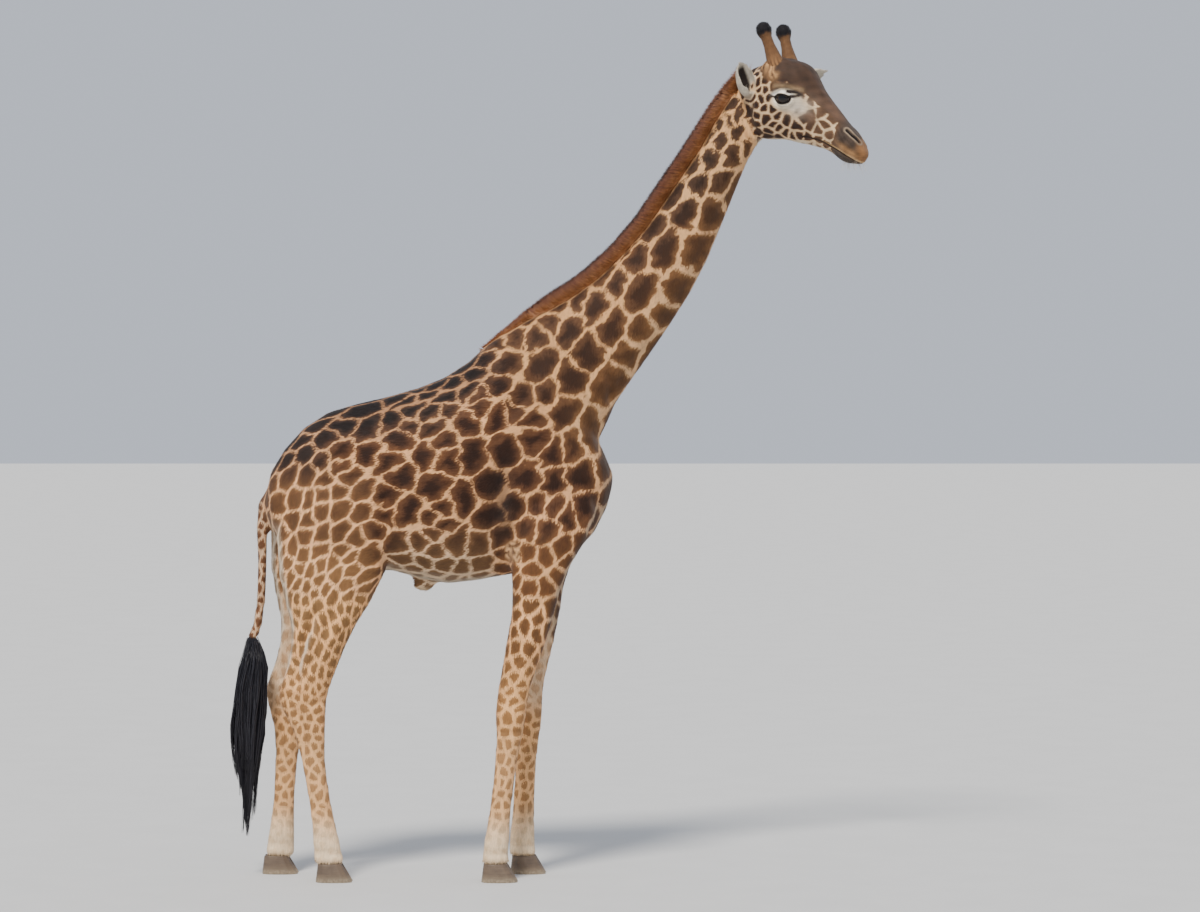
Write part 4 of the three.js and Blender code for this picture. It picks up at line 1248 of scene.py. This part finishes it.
def scatter_tree():
    """Lays tufts over one region of a surface, along its lie."""
    tree = bpy.data.node_groups.new("lay_tufts", "GeometryNodeTree")
    sockets = tree.interface
    sockets.new_socket("Geometry", in_out="INPUT", socket_type="NodeSocketGeometry")
    for name, kind in [
        ("Tuft", "Object"), ("Region", "Int"), ("Spacing", "Float"), ("Stray", "Float"),
        ("Seed", "Int"), ("Finish", "Material"),
    ]:
        sockets.new_socket(name, in_out="INPUT", socket_type="NodeSocket" + kind)
    sockets.new_socket("Geometry", in_out="OUTPUT", socket_type="NodeSocketGeometry")
    entry = tree.nodes.new("NodeGroupInput").outputs

    def add(kind, inputs=(), out=0, **settings):
        node = tree.nodes.new(kind)
        for key, value in settings.items():
            setattr(node, key, value)
        for key, value in dict(inputs).items():
            if isinstance(value, bpy.types.NodeSocket):
                tree.links.new(value, node.inputs[key])
            else:
                node.inputs[key].default_value = value
        return node.outputs[out]

    def named(name, kind):
        return add("GeometryNodeInputNamedAttribute", {"Name": name}, data_type=kind)

    def chance(kind, low, high, seed_shift):
        seed = add("ShaderNodeMath", {0: entry["Seed"], 1: float(seed_shift)}, operation="ADD")
        if kind == "FLOAT":
            return add("FunctionNodeRandomValue", {2: low, 3: high, 8: seed}, out=1, data_type=kind)
        return add("FunctionNodeRandomValue", {0: low, 1: high, 8: seed}, out=0, data_type=kind)

    mine = add(
        "FunctionNodeCompare",
        {2: named("region", "INT"), 3: entry["Region"]},
        data_type="INT",
        operation="EQUAL",
    )
    spread = {
        "Mesh": entry["Geometry"],
        "Selection": mine,
        "Distance Min": entry["Spacing"],
        "Density Max": 400000.0,
        "Density Factor": named("cover", "FLOAT"),
        "Seed": entry["Seed"],
    }
    points = add("GeometryNodeDistributePointsOnFaces", spread, distribute_method="POISSON")
    normal = points.node.outputs["Normal"]
    shaded = add(
        "GeometryNodeStoreNamedAttribute",
        {"Geometry": points, "Name": "shade", "Value": chance("FLOAT", -0.13, 0.13, 1)},
        data_type="FLOAT",
        domain="POINT",
    )
    stray = add(
        "ShaderNodeVectorMath",
        {0: chance("FLOAT_VECTOR", (-1, -1, -1), (1, 1, 1), 2), "Scale": entry["Stray"]},
        operation="SCALE",
    )
    towards = add("ShaderNodeVectorMath", {0: named("lie", "FLOAT_VECTOR"), 1: stray}, operation="ADD")
    turned = add(
        "FunctionNodeAxesToRotation",
        {"Primary Axis": normal, "Secondary Axis": towards},
        primary_axis="Z",
        secondary_axis="X",
    )
    size = add(
        "ShaderNodeVectorMath",
        {0: named("tuft", "FLOAT_VECTOR"), "Scale": chance("FLOAT", 0.72, 1.22, 3)},
        operation="SCALE",
    )
    shape = add("GeometryNodeObjectInfo", {"Object": entry["Tuft"]}, out=4)
    laid = add(
        "GeometryNodeInstanceOnPoints",
        {"Points": shaded, "Instance": shape, "Rotation": turned, "Scale": size},
    )
    real = add("GeometryNodeRealizeInstances", {"Geometry": laid})
    spot = add(
        "ShaderNodeVectorMath",
        {0: named("OFBake", "FLOAT_VECTOR"), 1: named("spot", "FLOAT_VECTOR")},
        operation="ADD",
    )
    mapped = add(
        "GeometryNodeStoreNamedAttribute",
        {"Geometry": real, "Name": "OFBake", "Value": spot},
        data_type="FLOAT2",
        domain="CORNER",
    )
    finish = add("GeometryNodeSetMaterial", {"Geometry": mapped, "Material": entry["Finish"]})
    tree.links.new(finish, tree.nodes.new("NodeGroupOutput").inputs[0])
    return tree


TUFTS = scatter_tree()


def laid_tufts(name, surface, tuft, region, spacing, stray, seed, finish):
    """The tufts of one region as one plain mesh that rides with the animal."""
    made = new_object(name, surface)
    modifier = made.modifiers.new("tufts", "NODES")
    modifier.node_group = TUFTS
    given = {
        "Tuft": tuft, "Region": region, "Spacing": spacing, "Stray": stray, "Seed": seed, "Finish": finish
    }
    for item in TUFTS.interface.items_tree:
        if item.in_out == "INPUT" and item.name in given:
            modifier[item.identifier] = given[item.name]
    made.update_tag()
    mesh = bpy.data.meshes.new_from_object(made.evaluated_get(bpy.context.evaluated_depsgraph_get()))
    made.modifiers.clear()
    made.data = mesh
    mesh.name = name
    for spare in ("tuft", "cover", "region", "spot", "id"):
        if spare in mesh.attributes:
            mesh.attributes.remove(mesh.attributes[spare])
    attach(made, "root")


def coat_plan(body):
    """Which piece of the coat each face belongs to, and how long and wide its tufts are."""
    x, z = body.x, body.z
    count = len(x)
    tuft = np.zeros((count, 3)) + np.array([19, 4.6, 2.6]) * MM
    cover = np.ones(count)

    def zone(share, length, width, lift):
        nonlocal tuft
        tuft = tuft + share[:, None] * (np.array([length, width, lift]) * MM - tuft)

    zone(ramp(-z, -1.75, -1.45) * body.is_leg, 19, 4.2, 2.4)
    zone(ramp(-z, -1.10, -0.80) * body.is_leg, 14, 3.4, 1.9)
    zone(ramp(-z, -0.40, -0.15) * body.is_leg, 13, 3.0, 2.0)
    zone(ramp(-z, -0.135, -0.105) * body.is_leg, 26, 3.2, 0.6)
    zone(body.is_tail, 17, 3.4, 2.4)
    zone(body.is_head, 9, 2.2, 1.2)
    zone(body.is_head * ramp(body.ahead, 0.46, 0.58), 6, 1.7, 0.8)
    zone(body.is_head * bump(np.maximum(body.from_lids, 0), 0.020), 5, 1.5, 0.7)
    zone(body.is_ear, 12, 2.0, 1.6)
    zone(bump(np.hypot(x + 0.178, z - 1.655), 0.08) * (1 - body.is_leg), 10, 4.0, 1.6)
    cover *= ramp(body.from_lids, 0.0005, 0.0025)
    cover *= 1 - body.is_head * (body.from_nostril < 0.008)
    cover *= 1 - body.is_head * (to_line(body.ahead, z, MOUTH) < 0.002)
    vertex, start, _ = corners_of(body.mesh)
    first = vertex[start]
    part = body.part[first]
    fore = [name for name in LEG_NODES if "front" in name]
    hind = [name for name in LEG_NODES if "hind" in name]
    region = np.zeros(len(start), dtype=np.int32)

    def these(names):
        return np.isin(part, [body.names.index(name) for name in names])

    region[these(["trunk"])] = REGIONS["flank"]
    region[these(["trunk"]) & (x[first] > -0.42)] = REGIONS["shoulder"]
    region[these(["trunk"]) & (x[first] < -0.92)] = REGIONS["croup"]
    region[these(["tail"])] = REGIONS["croup"]
    region[these(["neck_lower", "neck_upper"])] = REGIONS["neck"]
    region[these(["head", "ear_right", "ear_left"])] = REGIONS["head"]
    region[these(fore)] = REGIONS["forelegs"]
    region[these(hind)] = REGIONS["hind_legs"]
    return tuft, cover, region


# ------------------------------------------------------------------ the other pieces

def soft_copy(name, cell, rounds, inset):
    """A smooth, even copy of one solid, drawn in a little."""
    mesh = voxelled(merged_nodes([name], 0), cell)
    set_points(mesh, relaxed(points_of(mesh), edges_of(mesh), rounds))
    set_points(mesh, points_of(mesh) - inset * normals_of(mesh))
    mesh.shade_smooth()
    return mesh


def flat_map(mesh, middle, way, box):
    """A flat map of a shape like a tube: round it one way, along it the other."""
    left, low, wide, high = box
    way = unit(np.asarray(way, dtype=float))
    across, third = crosswise(way)
    away = points_of(mesh) - np.asarray(middle)
    turn = (np.arctan2(away @ third, away @ across) + np.pi) / (2 * np.pi)
    along = away @ way
    along = (along - along.min()) / np.ptp(along)
    vertex = numbers(mesh.loops, "vertex_index", 1, np.int32)
    flat = np.stack([left + wide * turn[vertex], low + high * along[vertex]], axis=1)
    store(mesh, "OFBake", flat, "FLOAT2", "CORNER")


def furred(mesh, colour, lie, tuft):
    """Stores what the coat's material and its tufts read, for a piece of plain colour."""
    count = len(mesh.vertices)
    store(mesh, "lie", lie)
    store(mesh, "ground", np.zeros((count, 3)) + colour, "FLOAT_COLOR")
    store(mesh, "patch", np.zeros((count, 3)) + colour, "FLOAT_COLOR")
    store(mesh, "plan", np.zeros((count, 3)) + np.array([0.02, 0.0, 0.05]))
    store(mesh, "tuft", np.zeros((count, 3)) + np.asarray(tuft))
    store(mesh, "cover", np.ones(count), "FLOAT")
    store(mesh, "region", np.ones(len(mesh.polygons)), "INT", "FACE")


def strands(name, paths, radii, marks):
    """Many tapered hairs as one mesh: each is a three-sided rod along its path."""
    count, steps, _ = paths.shape
    way = unit(np.gradient(paths, axis=1))
    side = unit(np.cross(way, np.array([0.31, 0.87, 0.38])))
    other = np.cross(way, side)
    turn = 2 * np.pi * np.arange(3) / 3
    ring = np.cos(turn)[:, None] * side[:, :, None] + np.sin(turn)[:, None] * other[:, :, None]
    points = (paths[:, :, None] + ring * radii[:, :, None, None]).reshape(-1, 3)
    base = (np.arange(count) * steps * 3)[:, None, None] + (np.arange(steps - 1) * 3)[None, :, None]
    k = np.arange(3)[None, None, :]
    after = (k + 1) % 3
    quads = np.stack([base + k, base + after, base + after + 3, base + k + 3], axis=-1).reshape(-1, 4)
    first = np.arange(count)[:, None] * steps * 3
    ends = np.concatenate([first + [0, 2, 1], first + (steps - 1) * 3 + np.array([0, 1, 2])])
    mesh = bpy.data.meshes.new(name)
    mesh.from_pydata(points.tolist(), [], quads.tolist() + ends.tolist())
    mesh.update()
    along = np.broadcast_to(np.linspace(0, 1, steps)[None, :, None], (count, steps, 3)).reshape(-1)
    store(mesh, "along", along, "FLOAT")
    root = np.broadcast_to(marks[:, None, None], (count, steps, 3, 2)).reshape(-1, 2)
    spread = np.stack([along, np.tile([0, 0.5, 1], count * steps)], axis=1)
    vertex = numbers(mesh.loops, "vertex_index", 1, np.int32)
    store(mesh, "OFBake", (root + (spread - 0.5) * PATCH)[vertex], "FLOAT2", "CORNER")
    mesh.shade_smooth()
    return new_object(name, mesh)


def hair_material(name, root, tip, roughness=0.5):
    made = Nodes(name)
    along = made.attribute("along", "Fac")
    streak = made.noise(60.0, 3.0, made.stretched(1, 1, 0.06))
    colour = made.mix(
        made.plus(along, made.times(made.math("SUBTRACT", streak, 0.5), 0.8)), tuple(root), tuple(tip)
    )
    made.set(Base_Color=colour, Roughness=made.step(streak, 0.2, 0.8, roughness - 0.08, roughness + 0.08))
    made.bump(streak, 0.0006, 0.5)
    return made.material


def mane_material():
    """Stiff upright hair: ochre at the root, red brown above, dark at the tips."""
    made = Nodes("stiff_hair")
    rise = made.plus(made.attribute("rise", "Fac"), made.times(made.attribute("along", "Fac"), 0.42))
    streak = made.noise(55.0, 3.0, made.stretched(1, 1, 0.25))
    rise = made.plus(rise, made.times(made.math("SUBTRACT", streak, 0.5), 0.45))
    low = made.mix(made.step(rise, 0.15, 0.65), tuple(tint(156, 104, 60)), tuple(tint(110, 62, 38)))
    colour = made.mix(made.step(rise, 0.75, 1.25), low, tuple(tint(46, 26, 24)))
    light = made.plus(made.times(made.attribute("shade", "Fac"), 1.8), 1.0)
    bright = made.add("ShaderNodeCombineColor", {0: light, 1: light, 2: light})
    made.set(
        Base_Color=made.mix(1.0, colour, bright, "MULTIPLY"),
        Roughness=made.step(streak, 0.2, 0.8, 0.5, 0.7),
    )
    made.bump(streak, 0.001, 0.6)
    return made.material


def make_mane(tree):
    """A low core along the crest of the neck, thatched with stiff locks."""
    mesh = soft_copy("mane", 8 * MM, 8, 0)
    points = points_of(mesh)
    root = np.array([tree.find_nearest(Vector(p))[0] for p in points])
    up = (points - root) * np.array([1, 0, 1])
    height = np.linalg.norm(points - root, axis=1)
    up = unit(around(unit(up) * np.minimum(height, 0.03)[:, None], edges_of(mesh), 25))
    full = ramp(points[:, 0], points[:, 0].min() + 0.02, points[:, 0].min() + 0.42)[:, None]
    core = root + (points - root) * np.array([0.70, 0.62, 0.70]) * (0.30 + 0.70 * full)
    core = core - 0.003 * up
    set_points(mesh, core)
    rise = np.clip(height / 0.085, 0, 1)
    lean = up + 0.34 * np.array([-0.5, 0, -0.86])
    length = (64 - 30 * rise) * (0.35 + 0.65 * full[:, 0]) * MM
    furred(
        mesh,
        tint(150, 90, 50),
        unit(lean),
        np.stack([length, 0.0029 + 0 * rise, 0.004 + 0 * rise], axis=1),
    )
    store(mesh, "rise", rise, "FLOAT")
    flat_map(mesh, core.mean(axis=0), (0.5, 0, 0.86), (0.02, 0.02, 0.45, 0.95))
    finish = mane_material()
    mesh.materials.append(finish)
    made = new_object("mane_core", mesh)
    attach(made, "root")
    lock = tuft_object("lock", finish, 0.35)
    laid_tufts("mane_locks", mesh, lock, 1, 2.1 * MM, 0.11, SEED + 20, finish)
    bpy.data.objects.remove(lock)
    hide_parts("mane")


def make_ossicones(finish):
    slim = tuft_object("slim_blade", finish, 0.35)
    for side in ("right", "left"):
        name = "ossicone_" + side
        mesh = soft_copy(name, 4 * MM, 14, 2 * MM)
        points = points_of(mesh)
        foot = points[points[:, 2] < points[:, 2].min() + 0.03].mean(axis=0)
        head = points[points[:, 2] > points[:, 2].max() - 0.03].mean(axis=0)
        axis = unit(head - foot)
        along = (points - foot) @ axis / np.linalg.norm(head - foot)
        normals = normals_of(mesh)
        uneven = 0.05 * wander(points, 0.03, np.random.default_rng(SEED + 5))[:, 0]
        height, forward, left, _ = horn_coordinates(points, -1 if side == "right" else 1)
        narrow = (0.30 * (1 - ramp(height, -0.030, 0.050)))[:, None]
        points = points - narrow * (forward[:, None] * HEAD_AHEAD + left[:, None] * HEAD_LEFT)
        set_points(mesh, points)
        black = ramp(along + uneven, 0.74, 0.84)[:, None]
        low = ramp(-along, -0.35, 0.05)[:, None]
        stripe = ramp(np.sin(np.arctan2(left, forward) * 15 + 9 * uneven), 0.0, 0.6)[:, None]
        colour = tint(106, 74, 47) + low * (tint(158, 116, 76) - tint(106, 74, 47))
        colour = colour * (1 + 2.4 * uneven[:, None])
        colour = colour + low * stripe * (tint(92, 62, 42) - colour)
        colour = colour + black * (tint(26, 23, 27) - colour)
        lie = unit(axis - (normals @ axis)[:, None] * normals + 0.35 * normals * black)
        tuft = np.array([11, 2.4, 1.6]) * MM + black * np.array([1, 0.2, 2.6]) * MM
        furred(mesh, colour, lie, tuft)
        flat_map(mesh, foot, axis, (0.05, 0.05, 0.4, 0.9))
        mesh.materials.append(finish)
        made = new_object("horn_" + side, mesh)
        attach(made, "root")
        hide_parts(name)
        laid_tufts("horn_hair_" + side, mesh, slim, 1, 3.6 * MM, 0.25, SEED + 30, finish)
    bpy.data.objects.remove(slim)


def tail_paths(rng, count, steps):
    """Long hairs that fall from the end of the tail and fill the tuft's outline."""
    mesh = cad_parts["tail_tuft"].data
    points = points_of(mesh)
    top, bottom = points[:, 2].max(), points[:, 2].min()
    levels = np.linspace(top, bottom, 12)
    middle, half = [], []
    for level in levels:
        near = points[np.abs(points[:, 2] - level) < (top - bottom) * 0.075]
        middle.append((near.max(axis=0)[:2] + near.min(axis=0)[:2]) / 2)
        half.append((near.max(axis=0)[:2] - near.min(axis=0)[:2]) / 2)
    middle, half = np.array(middle), np.array(half)
    locks = 64
    lock = rng.integers(0, locks, count)
    angle = (2 * np.pi * rng.permutation(locks) / locks + rng.uniform(-0.2, 0.2, locks))[lock]
    out = (rng.uniform(0.10, 1, locks) ** 0.55 * 0.94)[lock]
    start = top + 0.005 - (top - bottom) * rng.uniform(0, 0.10, count) * (0.3 + 0.7 * out)
    length = rng.uniform(0.50, 1.06, locks)[lock] - 0.12 * rng.uniform(0, 1, count) ** 2
    end = start - (start - bottom + 0.02) * length
    t = np.linspace(0, 1, steps)
    z = start[:, None] + (end - start)[:, None] * t[None, :]
    where = [
        np.interp(-z, -levels, column) for column in (middle[:, 0], middle[:, 1], half[:, 0], half[:, 1])
    ]
    reach = out[:, None] * (0.60 + 0.40 * ramp(t, 0.0, 0.25))[None, :]
    rate = rng.uniform(4, 10, locks)[lock][:, None]
    wave = 0.013 * np.sin(t[None, :] * rate + rng.uniform(0, 6, locks)[lock][:, None]) * t
    own = rng.normal(0, 0.0065, (2, count))[:, :, None] * (1 - 0.8 * t**1.5)
    own = own + 0.004 * np.sin(t[None, None, :] * 7 + rng.uniform(0, 6, (2, count))[:, :, None]) * t
    x = where[0] + where[2] * reach * np.cos(angle)[:, None] + wave + own[0]
    y = where[1] + where[3] * reach * np.sin(angle)[:, None] + wave * 0.6 + own[1]
    marks = np.stack([0.02 + 0.9 * angle / (2 * np.pi), 0.05 + 0.8 * out], axis=1)
    return np.stack([x, y, z], axis=2), marks


def make_tail_hair():
    rng = np.random.default_rng(SEED + 40)
    paths, marks = tail_paths(rng, 1300, 9)
    t = np.linspace(0, 1, 9)
    taper = np.interp(t, [0, 0.15, 0.7, 1], [0.6, 1.0, 0.8, 0.12])
    radii = rng.uniform(1.6, 3.4, len(paths))[:, None] * taper * MM
    hair = strands("tail_hair", paths, radii, marks)
    hair.data.materials.append(hair_material("long_hair", tint(26, 26, 34), tint(34, 32, 38), 0.42))
    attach(hair, "root")
    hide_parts("tail_tuft")


def eye_material():
    """A dark wet eye: brown iris, long level pupil, and a clear layer over all."""
    made = Nodes("wet_eye")
    look = made.add("ShaderNodeSeparateXYZ", {0: made.attribute("look")}).node
    u, w = look.outputs[0], look.outputs[1]
    across = made.math("SQRT", made.plus(made.times(u, u), made.times(w, w)))
    wide, tall = made.math("DIVIDE", u, 0.44), made.math("DIVIDE", w, 0.27)
    pupil = made.math("SQRT", made.plus(made.times(wide, wide), made.times(tall, tall)))
    turn = made.math("ARCTAN2", w, u)
    spokes = made.add("ShaderNodeCombineXYZ", {0: made.times(turn, 6.0), 1: made.times(across, 1.5)})
    ray = made.noise(3.0, 4.0, spokes)
    iris = made.mix(ray, tuple(tint(24, 17, 14)), tuple(tint(40, 28, 21)))
    ringed = made.mix(made.step(across, 0.50, 0.64), iris, tuple(tint(26, 18, 15)))
    white = made.mix(made.step(across, 0.66, 0.74), ringed, tuple(tint(60, 48, 42)))
    colour = made.mix(made.step(pupil, 1.08, 0.92), white, tuple(tint(8, 8, 12)))
    made.set(Base_Color=colour, Roughness=made.step(ray, 0.0, 1.0, 0.10, 0.18))
    made.set(Specular_IOR_Level=0.15, Coat_Weight=0.45, Coat_Roughness=0.03)
    made.bump(made.noise(220.0), 0.0002, 0.1)
    return made.material


def make_eyes():
    finish = eye_material()
    for side, name in ((-1, "right"), (1, "left")):
        centre, radius = eyeball(side)
        shape = bmesh.new()
        bmesh.ops.create_icosphere(shape, subdivisions=5, radius=1.0)
        mesh = bpy.data.meshes.new("eyeball_" + name)
        shape.to_mesh(mesh)
        shape.free()
        points = points_of(mesh)
        gaze = unit(side * HEAD_LEFT + 0.20 * HEAD_AHEAD)
        ahead = unit(HEAD_AHEAD - (HEAD_AHEAD @ gaze) * gaze - 0.10 * UP)
        upward = np.cross(gaze, ahead) * (1 if np.cross(gaze, ahead)[2] > 0 else -1)
        facing = points @ gaze
        store(
            mesh,
            "look",
            np.stack([points @ ahead, points @ upward, facing], axis=1) + (facing < 0)[:, None] * 2,
        )
        cornea = 1 + 0.035 * ramp(facing, 0.72, 0.93)
        set_points(mesh, centre + points * (radius * 0.985 * cornea)[:, None])
        mesh.shade_smooth()
        mesh.materials.append(finish)
        made = new_object("eyeball_" + name, mesh)
        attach(made, "root")
        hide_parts("eye_" + name)


def make_lashes():
    rng = np.random.default_rng(SEED + 50)
    black = hair_material("lashes", tint(20, 17, 17), tint(32, 27, 25), 0.4)
    for side, name in ((-1, "right"), (1, "left")):
        centre, radius = eyeball(side)
        count, steps = 110, 6
        share = rng.uniform(0, 1, count)
        u = -0.030 + 0.070 * share**0.8
        upper = np.arange(count) % 5 != 0
        edge = np.clip(1 - (u / LID_HALF) ** 2, 0, 1) ** 0.62
        w = np.where(upper, LID_UP * edge + 0.0012, -LID_DOWN * edge - 0.0012)
        n = np.sqrt((radius + LID_THICKNESS) ** 2 - u * u - w * w) - 0.001
        turn_u = u * math.cos(EYE_TILT) - w * math.sin(EYE_TILT)
        turn_w = w * math.cos(EYE_TILT) + u * math.sin(EYE_TILT)
        root = centre + turn_u[:, None] * HEAD_AHEAD + (
            side * n
        )[:, None] * HEAD_LEFT + turn_w[:, None] * UP
        length = np.where(upper, 0.012 + 0.017 * share, 0.009) * rng.uniform(0.8, 1.15, count)
        t = np.linspace(0, 1, steps)[None, :, None]
        droop = np.where(upper, -0.55, -0.35)[:, None, None]
        outward = side * HEAD_LEFT * 0.85
        forward = HEAD_AHEAD * (0.15 + 0.75 * share)[:, None, None]
        bend = outward * t + (forward + droop * UP) * (t * 0.75 + 0.25 * t**2) + 0.10 * UP * t**3
        bend = bend + rng.normal(0, 0.07, (count, 1, 3)) * t
        paths = root[:, None] + bend * length[:, None, None]
        radii = 0.55 * MM * np.interp(
            np.linspace(0, 1, steps), [0, 1], [1, 0.2]
        )[None, :] * np.ones((count, 1))
        lashes = strands(
            "lashes_" + name, paths, radii, np.stack([0.05 + share * 0.9, 0.1 + 0 * share], axis=1)
        )
        lashes.data.materials.append(black)
        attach(lashes, "root")


def make_whiskers(tree):
    """A few pale bristles round the chin and lips."""
    rng = np.random.default_rng(SEED + 60)
    count, steps = 70, 6
    roots, outward = [], []
    for _ in range(count):
        ahead, left, z = rng.uniform(0.53, 0.655), rng.uniform(-0.05, 0.05), rng.uniform(3.555, 3.585)
        spot = tree.find_nearest(Vector(on_head(ahead, left, z - 0.02)))
        roots.append(spot[0])
        outward.append(spot[1])
    roots, outward = np.array(roots), np.array(outward)
    t = np.linspace(0, 1, steps)[None, :, None]
    bend = outward[:, None] * t + (
        0.35 * HEAD_AHEAD - 0.5 * UP
    ) * t**2 + rng.normal(0, 0.25, (count, 1, 3)) * t
    paths = roots[:, None] - 0.001 * outward[:, None] + bend * rng.uniform(
        0.018, 0.046, count
    )[:, None, None]
    radii = 0.35 * MM * np.linspace(1, 0.25, steps)[None, :] * np.ones((count, 1))
    marks = np.stack([rng.uniform(0.1, 0.9, count), np.full(count, 0.5)], axis=1)
    bristles = strands("whiskers", paths, radii, marks)
    bristles.data.materials.append(
        hair_material("whiskers", tint(176, 160, 138), tint(232, 222, 206), 0.5)
    )
    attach(bristles, "root")


def hoof_material():
    """Horn: grey brown, in faint rings, paler and scuffed towards the ground."""
    made = Nodes("horn_of_hoof")
    rings = made.noise(90.0, 2.0, made.stretched(0.10, 0.10, 1))
    spread = made.noise(24.0, 4.0)
    scuffs = made.noise(210.0, 3.0, made.stretched(0.5, 1, 0.4))
    height = made.add("ShaderNodeSeparateXYZ", {0: made.place}).node.outputs[2]
    base = made.mix(spread, tuple(tint(82, 68, 56)), tuple(tint(128, 108, 88)))
    banded = made.mix(made.times(rings, 0.55), base, tuple(tint(58, 48, 42)))
    worn = made.mix(
        made.times(made.step(height, 0.030, 0.004), made.step(scuffs, 0.35, 0.75)),
        banded,
        tuple(tint(156, 142, 122)),
    )
    dusty = made.mix(made.times(made.step(height, 0.05, 0.0), 0.35), worn, tuple(tint(164, 146, 118)))
    made.set(Base_Color=dusty, Roughness=made.step(scuffs, 0.2, 0.8, 0.42, 0.68))
    made.bump(made.plus(rings, made.times(scuffs, 0.5)), 0.0014, 0.7)
    return made.material


def make_hooves():
    finish = hoof_material()
    for name in [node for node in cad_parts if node.startswith("hoof")]:
        mesh = voxelled(merged_nodes([name], 0), 3.6 * MM)
        points = points_of(mesh)
        flat = ramp(points[:, 2], 0.001, 0.010)[:, None]
        smooth = relaxed(points, edges_of(mesh), 12, flat)
        rng = np.random.default_rng(SEED)
        rings = 0.5 * MM * np.sin(points[:, 2] * 2 * np.pi / 0.011 + wander(points, 0.08, rng)[:, 0])
        set_points(mesh, smooth)
        sideways = 1 - np.abs(normals_of(mesh)[:, 2])
        smooth = smooth + normals_of(mesh) * ((rings - 0.6 * MM) * sideways * flat[:, 0])[:, None]
        set_points(mesh, smooth)
        mesh.shade_smooth()
        mesh.materials.append(finish)
        made = new_object(name.replace("hoof", "claw"), mesh)
        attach(made, "root")
        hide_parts(name)


# ------------------------------------------------------------------ the animal

# How far apart the tufts stand on each piece of the coat.
SPACINGS = {
    "head": 3.6 * MM,
    "neck": 6.1 * MM,
    "shoulder": 6.4 * MM,
    "flank": 6.3 * MM,
    "croup": 6.2 * MM,
    "forelegs": 5.6 * MM,
    "hind_legs": 5.8 * MM,
}


def make_skin():
    """The skin with its markings, and all that its coat reads from it."""
    mesh, from_lids, from_nostril = shaped_skin()
    body = Skin(mesh, from_lids, from_nostril)
    comb = body.comb()
    ground, patch, plan, stretch = body.paint()
    middles = patch_middles(body, comb, plan, stretch)
    store(mesh, "cells", patch_cells(body, middles, comb, stretch, plan), domain="CORNER")
    store(mesh, "lie", comb)
    store(mesh, "plan", plan)
    store(mesh, "ground", ground, "FLOAT_COLOR")
    store(mesh, "patch", patch, "FLOAT_COLOR")
    store(mesh, "OFBake", unwrapped(body), "FLOAT2", "CORNER")
    tuft, cover, region = coat_plan(body)
    store(mesh, "tuft", tuft)
    store(mesh, "cover", cover, "FLOAT")
    store(mesh, "region", region, "INT", "FACE")
    mesh.shade_smooth()
    skin = new_object("skin", mesh)
    mesh.materials.append(coat_material())
    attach(skin, "root")
    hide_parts(*FLESH_NODES)
    return mesh


def make_coat(mesh, finish):
    blade = tuft_object("blade", finish)
    for place, number in REGIONS.items():
        laid_tufts(
            "coat_" + place, mesh, blade, number, SPACINGS[place], 0.22, SEED + number, finish
        )
    bpy.data.objects.remove(blade)


skin_mesh = make_skin()
coat = skin_mesh.materials[0]
skin_tree = tree_over(skin_mesh)
make_coat(skin_mesh, coat)
make_mane(skin_tree)
make_ossicones(coat)
make_tail_hair()
make_eyes()
make_lashes()
make_whiskers(skin_tree)
make_hooves()
studio()
camera()
